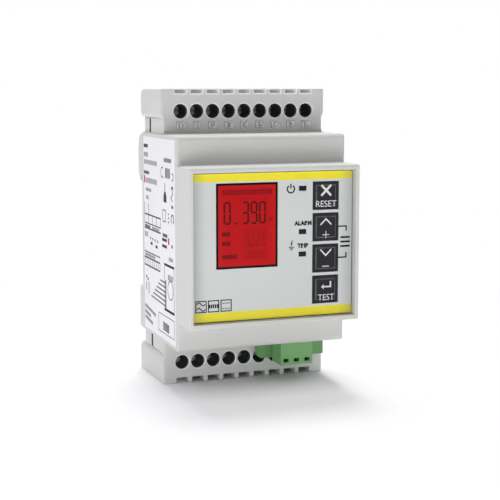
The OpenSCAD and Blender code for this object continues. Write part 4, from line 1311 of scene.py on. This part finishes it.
class RELAY_OT_keys(bpy.types.Operator):
    """The four keys with their raised pads and light symbols, and the pieces behind them."""

    bl_idname = "relay.keys"
    bl_label = "Keys"

    def execute(self, context):
        colours, sizes = context.scene.relay_colours, context.scene.relay_sizes
        rubber = key_rubber(colours, sizes)
        light = finish("key_symbol", colours.symbol, 0.5, drift=0.12)
        for key in KEYS:
            moulding(key + "_cap", key + "_key", key, rubber, sizes.small_edge)
            dress_nodes(white_plastic(colours), key + "_plunger")
            sheet = Print()
            getattr(self, key)(sheet, sizes)
            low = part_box(key + "_key")[0]
            middle = middle_of(key + "_key")
            place = front_place(middle.x, low.y, middle.z)
            mesh = sheet.laid(key + "_symbol", place, sizes.film, light)
            shown(key + "_symbol", mesh, key)
        dress_nodes(black_plastic(colours), "key_switches")
        return {"FINISHED"}

    def reset(self, sheet, sizes):
        """Bold cross over a word."""
        sheet.cross(0, 1.55 * MM, 2.2 * MM, 0.68 * MM, math.pi / 4)
        sheet.words("RESET", 0, -2.4 * MM, sizes.word, 6.5 * MM)

    def up(self, sheet, sizes):
        """Chevron up over a plus."""
        sheet.stroke([(-1.75 * MM, 0.65 * MM), (0, 2.4 * MM), (1.75 * MM, 0.65 * MM)], 0.42 * MM)
        sheet.cross(0, -2.3 * MM, 1.1 * MM, 0.22 * MM, 0.0)

    def down(self, sheet, sizes):
        """Chevron down over a minus."""
        sheet.stroke([(-1.75 * MM, 2.6 * MM), (0, 0.85 * MM), (1.75 * MM, 2.6 * MM)], 0.42 * MM)
        sheet.bar(0, -2.4 * MM, 2.2 * MM, 0.26 * MM)

    def test(self, sheet, sizes):
        """Return arrow over a word."""
        line, right, v, head = 0.48 * MM, 1.6 * MM, 0.75 * MM, 0.75 * MM
        sheet.stroke([(-0.7 * MM, v), (right, v), (right, v + 1.6 * MM)], line)
        sheet.outline([(-1.45 * MM, v), (-0.55 * MM, v - head), (-0.55 * MM, v + head)])
        sheet.words("TEST", 0.2 * MM, -2.4 * MM, sizes.word, 5.2 * MM)


class RELAY_OT_indicators(bpy.types.Operator):
    """Dark indicator windows and the lamps behind them."""

    bl_idname = "relay.indicators"
    bl_label = "Indicators"

    def execute(self, context):
        colours = context.scene.relay_colours
        smoked = finish("lens_plastic", colours.lens, 0.25, drift=0.3, depth=0.004, Specular_IOR_Level=0.15)
        dress_nodes(smoked, *LENSES)
        dress_nodes(white_plastic(colours), "status_leds")
        return {"FINISHED"}


class RELAY_OT_label(bpy.types.Operator):
    """White label on the left side, with plain diagrams."""

    bl_idname = "relay.label"
    bl_label = "Side label"

    def execute(self, context):
        colours, sizes = context.scene.relay_colours, context.scene.relay_sizes
        low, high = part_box("side_label")
        paper = finish("label_film", colours.label, 0.45, grain=4200.0, drift=0.04, depth=0.006)
        sheet = Print()
        span, rise = high.y - low.y, high.z - low.z
        sheet.bar(span / 2, rise / 2, span, rise)
        thickness = high.x - low.x - sizes.film
        mesh = sheet.laid("label_sheet", left_place(high.x, high.y, low.z), thickness, paper)
        film = shown("label_sheet", mesh, HOUSING)
        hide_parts("side_label")
        inks = {
            "dark": print_ink("panel_ink", colours.ink),
            "grey": print_ink("label_grey", colours.grey_print),
            "red": print_ink("label_red", colours.red_print),
        }
        marks = [self.drawing(sizes, inks["dark"])]
        for ink, rows in LABEL_ROWS.items():
            marks += [self.row(sizes, inks[ink], *values) for values in rows]
        place = left_place(low.x + sizes.film, high.y, high.z)
        shown("label_print", joined("label_print", marks, place), HOUSING)
        return {"FINISHED"}

    def row(self, sizes, ink, count, u, v, step_u, step_v, width, height, turn=0):
        """Row of bars, placed in millimetres from the label's upper left corner, v downwards."""
        first, step = (u * MM, -v * MM), (step_u * MM, -step_v * MM)
        size = (width * MM, height * MM, sizes.film)
        return bar_row(count, first, step, size, math.radians(-turn), ink)

    def drawing(self, sizes, ink):
        """Line drawings: a screwdriver, a bolt, open rings, frames, a bus bar with leads and a ring."""
        sheet = Print()

        def path(points, width, closed=False):
            """Line through points, in millimetres from the upper left corner."""
            sheet.stroke([(u * MM, -v * MM) for u, v in points], width * MM, closed)

        def shape(points):
            """Filled shape."""
            sheet.outline([(u * MM, -v * MM) for u, v in points])

        def ring(u, v, radius, start, end, width):
            """Part of a ring."""
            sheet.arc(u * MM, -v * MM, radius * MM, start, end, width * MM)

        path([(23.5, 13.0), (23.5, 15.6)], 0.45)
        shape([(22.9, 15.6), (24.1, 15.6), (25.0, 17.0), (25.0, 18.8), (22.0, 18.8), (22.0, 17.0)])
        path([(30.5, 14.2), (31.4, 15.6), (29.8, 17.0), (31.0, 18.0)], 0.4)
        ring(20.8, 10.0, 1.5, 60, 300, 0.35)
        ring(31.0, 10.8, 1.0, -120, 120, 0.35)
        ring(31.0, 23.2, 1.3, -60, 230, 0.45)
        path([(21.0, 21.2), (24.0, 21.2), (24.0, 24.6), (21.0, 24.6)], 0.3, closed=True)
        path([(22.4, 37.5), (22.4, 51.2), (32.2, 51.2), (32.2, 37.5)], 0.25, closed=True)
        path([(22.2, 37.5), (32.4, 37.5)], 0.7)
        path([(22.2, 51.2), (32.4, 51.2)], 0.8)
        path([(23.6, 42.3), (23.6, 51.0)], 0.9)
        leads = 6
        for i in range(leads):
            path([(17.7 - 2.0 * i, 43.0 + 1.3 * i), (23.4, 43.2 + 1.4 * i)], 0.4)
        ring(28.5, 44.7, 2.8, 0, 360, 0.3)
        path([(15.6, 53.3), (32.2, 53.3), (32.2, 58.8), (15.6, 58.8)], 0.22, closed=True)
        path([(0.6, 20.6), (0.6, 24.0)], 0.3)
        path([(5.4, 20.6), (5.4, 24.0)], 0.3)
        path([(5.0, 45.6), (5.0, 49.4)], 0.5)
        return sheet.laid("label_drawing", FLAT, sizes.film, ink)


class RELAY_OT_connector(bpy.types.Operator):
    """Green plug and header, with their pins, clamps and screws."""

    bl_idname = "relay.connector"
    bl_label = "Connector"

    def execute(self, context):
        colours, sizes = context.scene.relay_colours, context.scene.relay_sizes
        green = green_plastic("green_plastic", colours.connector)
        moulding("plug_moulding", "connector_plug", "plug", green, sizes.small_edge)
        # Painted shade: the header takes a darker green than the plug.
        green = green_plastic("header_plastic", colours.header)
        moulding("header_moulding", "connector_header", HOUSING, green, sizes.small_edge)
        dress_nodes(brass(colours), "header_pins")
        dress_nodes(metal("blackened_steel", colours.black, 0.5), "plug_clamps", "plug_screws")
        return {"FINISHED"}


class RELAY_OT_terminals(bpy.types.Operator):
    """Terminal bodies, screws and clamps behind the covers."""

    bl_idname = "relay.terminals"
    bl_label = "Terminals"

    def execute(self, context):
        colours, sizes = context.scene.relay_colours, context.scene.relay_sizes
        dress_nodes(black_plastic(colours), "upper_terminal_block", "lower_terminal_block")
        dull = metal("dulled_steel", colours.dark_steel, 0.45)
        moulding("terminal_screw_heads", "terminal_screws", HOUSING, dull, sizes.small_edge)
        dress_nodes(brass(colours), "clamp_cages")
        return {"FINISHED"}


class RELAY_OT_clip(bpy.types.Operator):
    """Sliding rail clip with its edges rounded."""

    bl_idname = "relay.clip"
    bl_label = "Rail clip"

    def execute(self, context):
        colours, sizes = context.scene.relay_colours, context.scene.relay_sizes
        black = black_plastic(colours)
        moulding("clip_moulding", "rail_clip", "clip", black, sizes.small_edge)
        return {"FINISHED"}


class RELAY_OT_boards(bpy.types.Operator):
    """Circuit boards and the parts on them."""

    bl_idname = "relay.boards"
    bl_label = "Boards"

    def execute(self, context):
        colours = context.scene.relay_colours
        dress_nodes(board_laminate(colours), "display_board", "logic_board", "main_board")
        dress_nodes(brass(colours), "display_link", "power_link")
        dress_nodes(metal("steel", colours.steel, 0.32), "board_spacers", "board_screws")
        dress_nodes(metal("core_iron", colours.iron, 0.5), "transformer_core")
        dress_nodes(metal("copper_winding", colours.copper, 0.35), "transformer_coil")
        dress_nodes(finish("relay_plastic", colours.relay, 0.4), "trip_relay", "alarm_relay")
        dress_nodes(black_plastic(colours), "processor", "supply_capacitor")
        return {"FINISHED"}


class RELAY_PT_looks(bpy.types.Panel):
    """Sidebar list of the relay's settings and of the steps that build it."""

    bl_label = "Protection Relay"
    bl_idname = "RELAY_PT_looks"
    bl_space_type = "VIEW_3D"
    bl_region_type = "UI"
    bl_category = "Relay"

    def draw(self, context):
        layout = self.layout
        for step in STEPS:
            layout.operator(step.bl_idname)
        for settings in (context.scene.relay_colours, context.scene.relay_sizes, context.scene.relay_stage):
            box = layout.box()
            for name in settings.__annotations__:
                box.prop(settings, name)


SETTINGS = {"relay_colours": RelayColours, "relay_sizes": RelaySizes, "relay_stage": RelayStage}
STEPS = (
    RELAY_OT_stage,
    RELAY_OT_housing,
    RELAY_OT_numerals,
    RELAY_OT_panel,
    RELAY_OT_display,
    RELAY_OT_keys,
    RELAY_OT_indicators,
    RELAY_OT_label,
    RELAY_OT_connector,
    RELAY_OT_terminals,
    RELAY_OT_clip,
    RELAY_OT_boards,
)


def register():
    for kind in (*SETTINGS.values(), *STEPS, RELAY_PT_looks):
        bpy.utils.register_class(kind)
    for name, kind in SETTINGS.items():
        setattr(bpy.types.Scene, name, PointerProperty(type=kind))


def unregister():
    for name in SETTINGS:
        delattr(bpy.types.Scene, name)
    for kind in (RELAY_PT_looks, *reversed(STEPS), *SETTINGS.values()):
        bpy.utils.unregister_class(kind)


def main():
    """Registers the steps and runs them in order."""
    register()
    for step in STEPS:
        getattr(bpy.ops.relay, step.bl_idname.split(".")[1])()


if __name__ == "__main__":
    main()
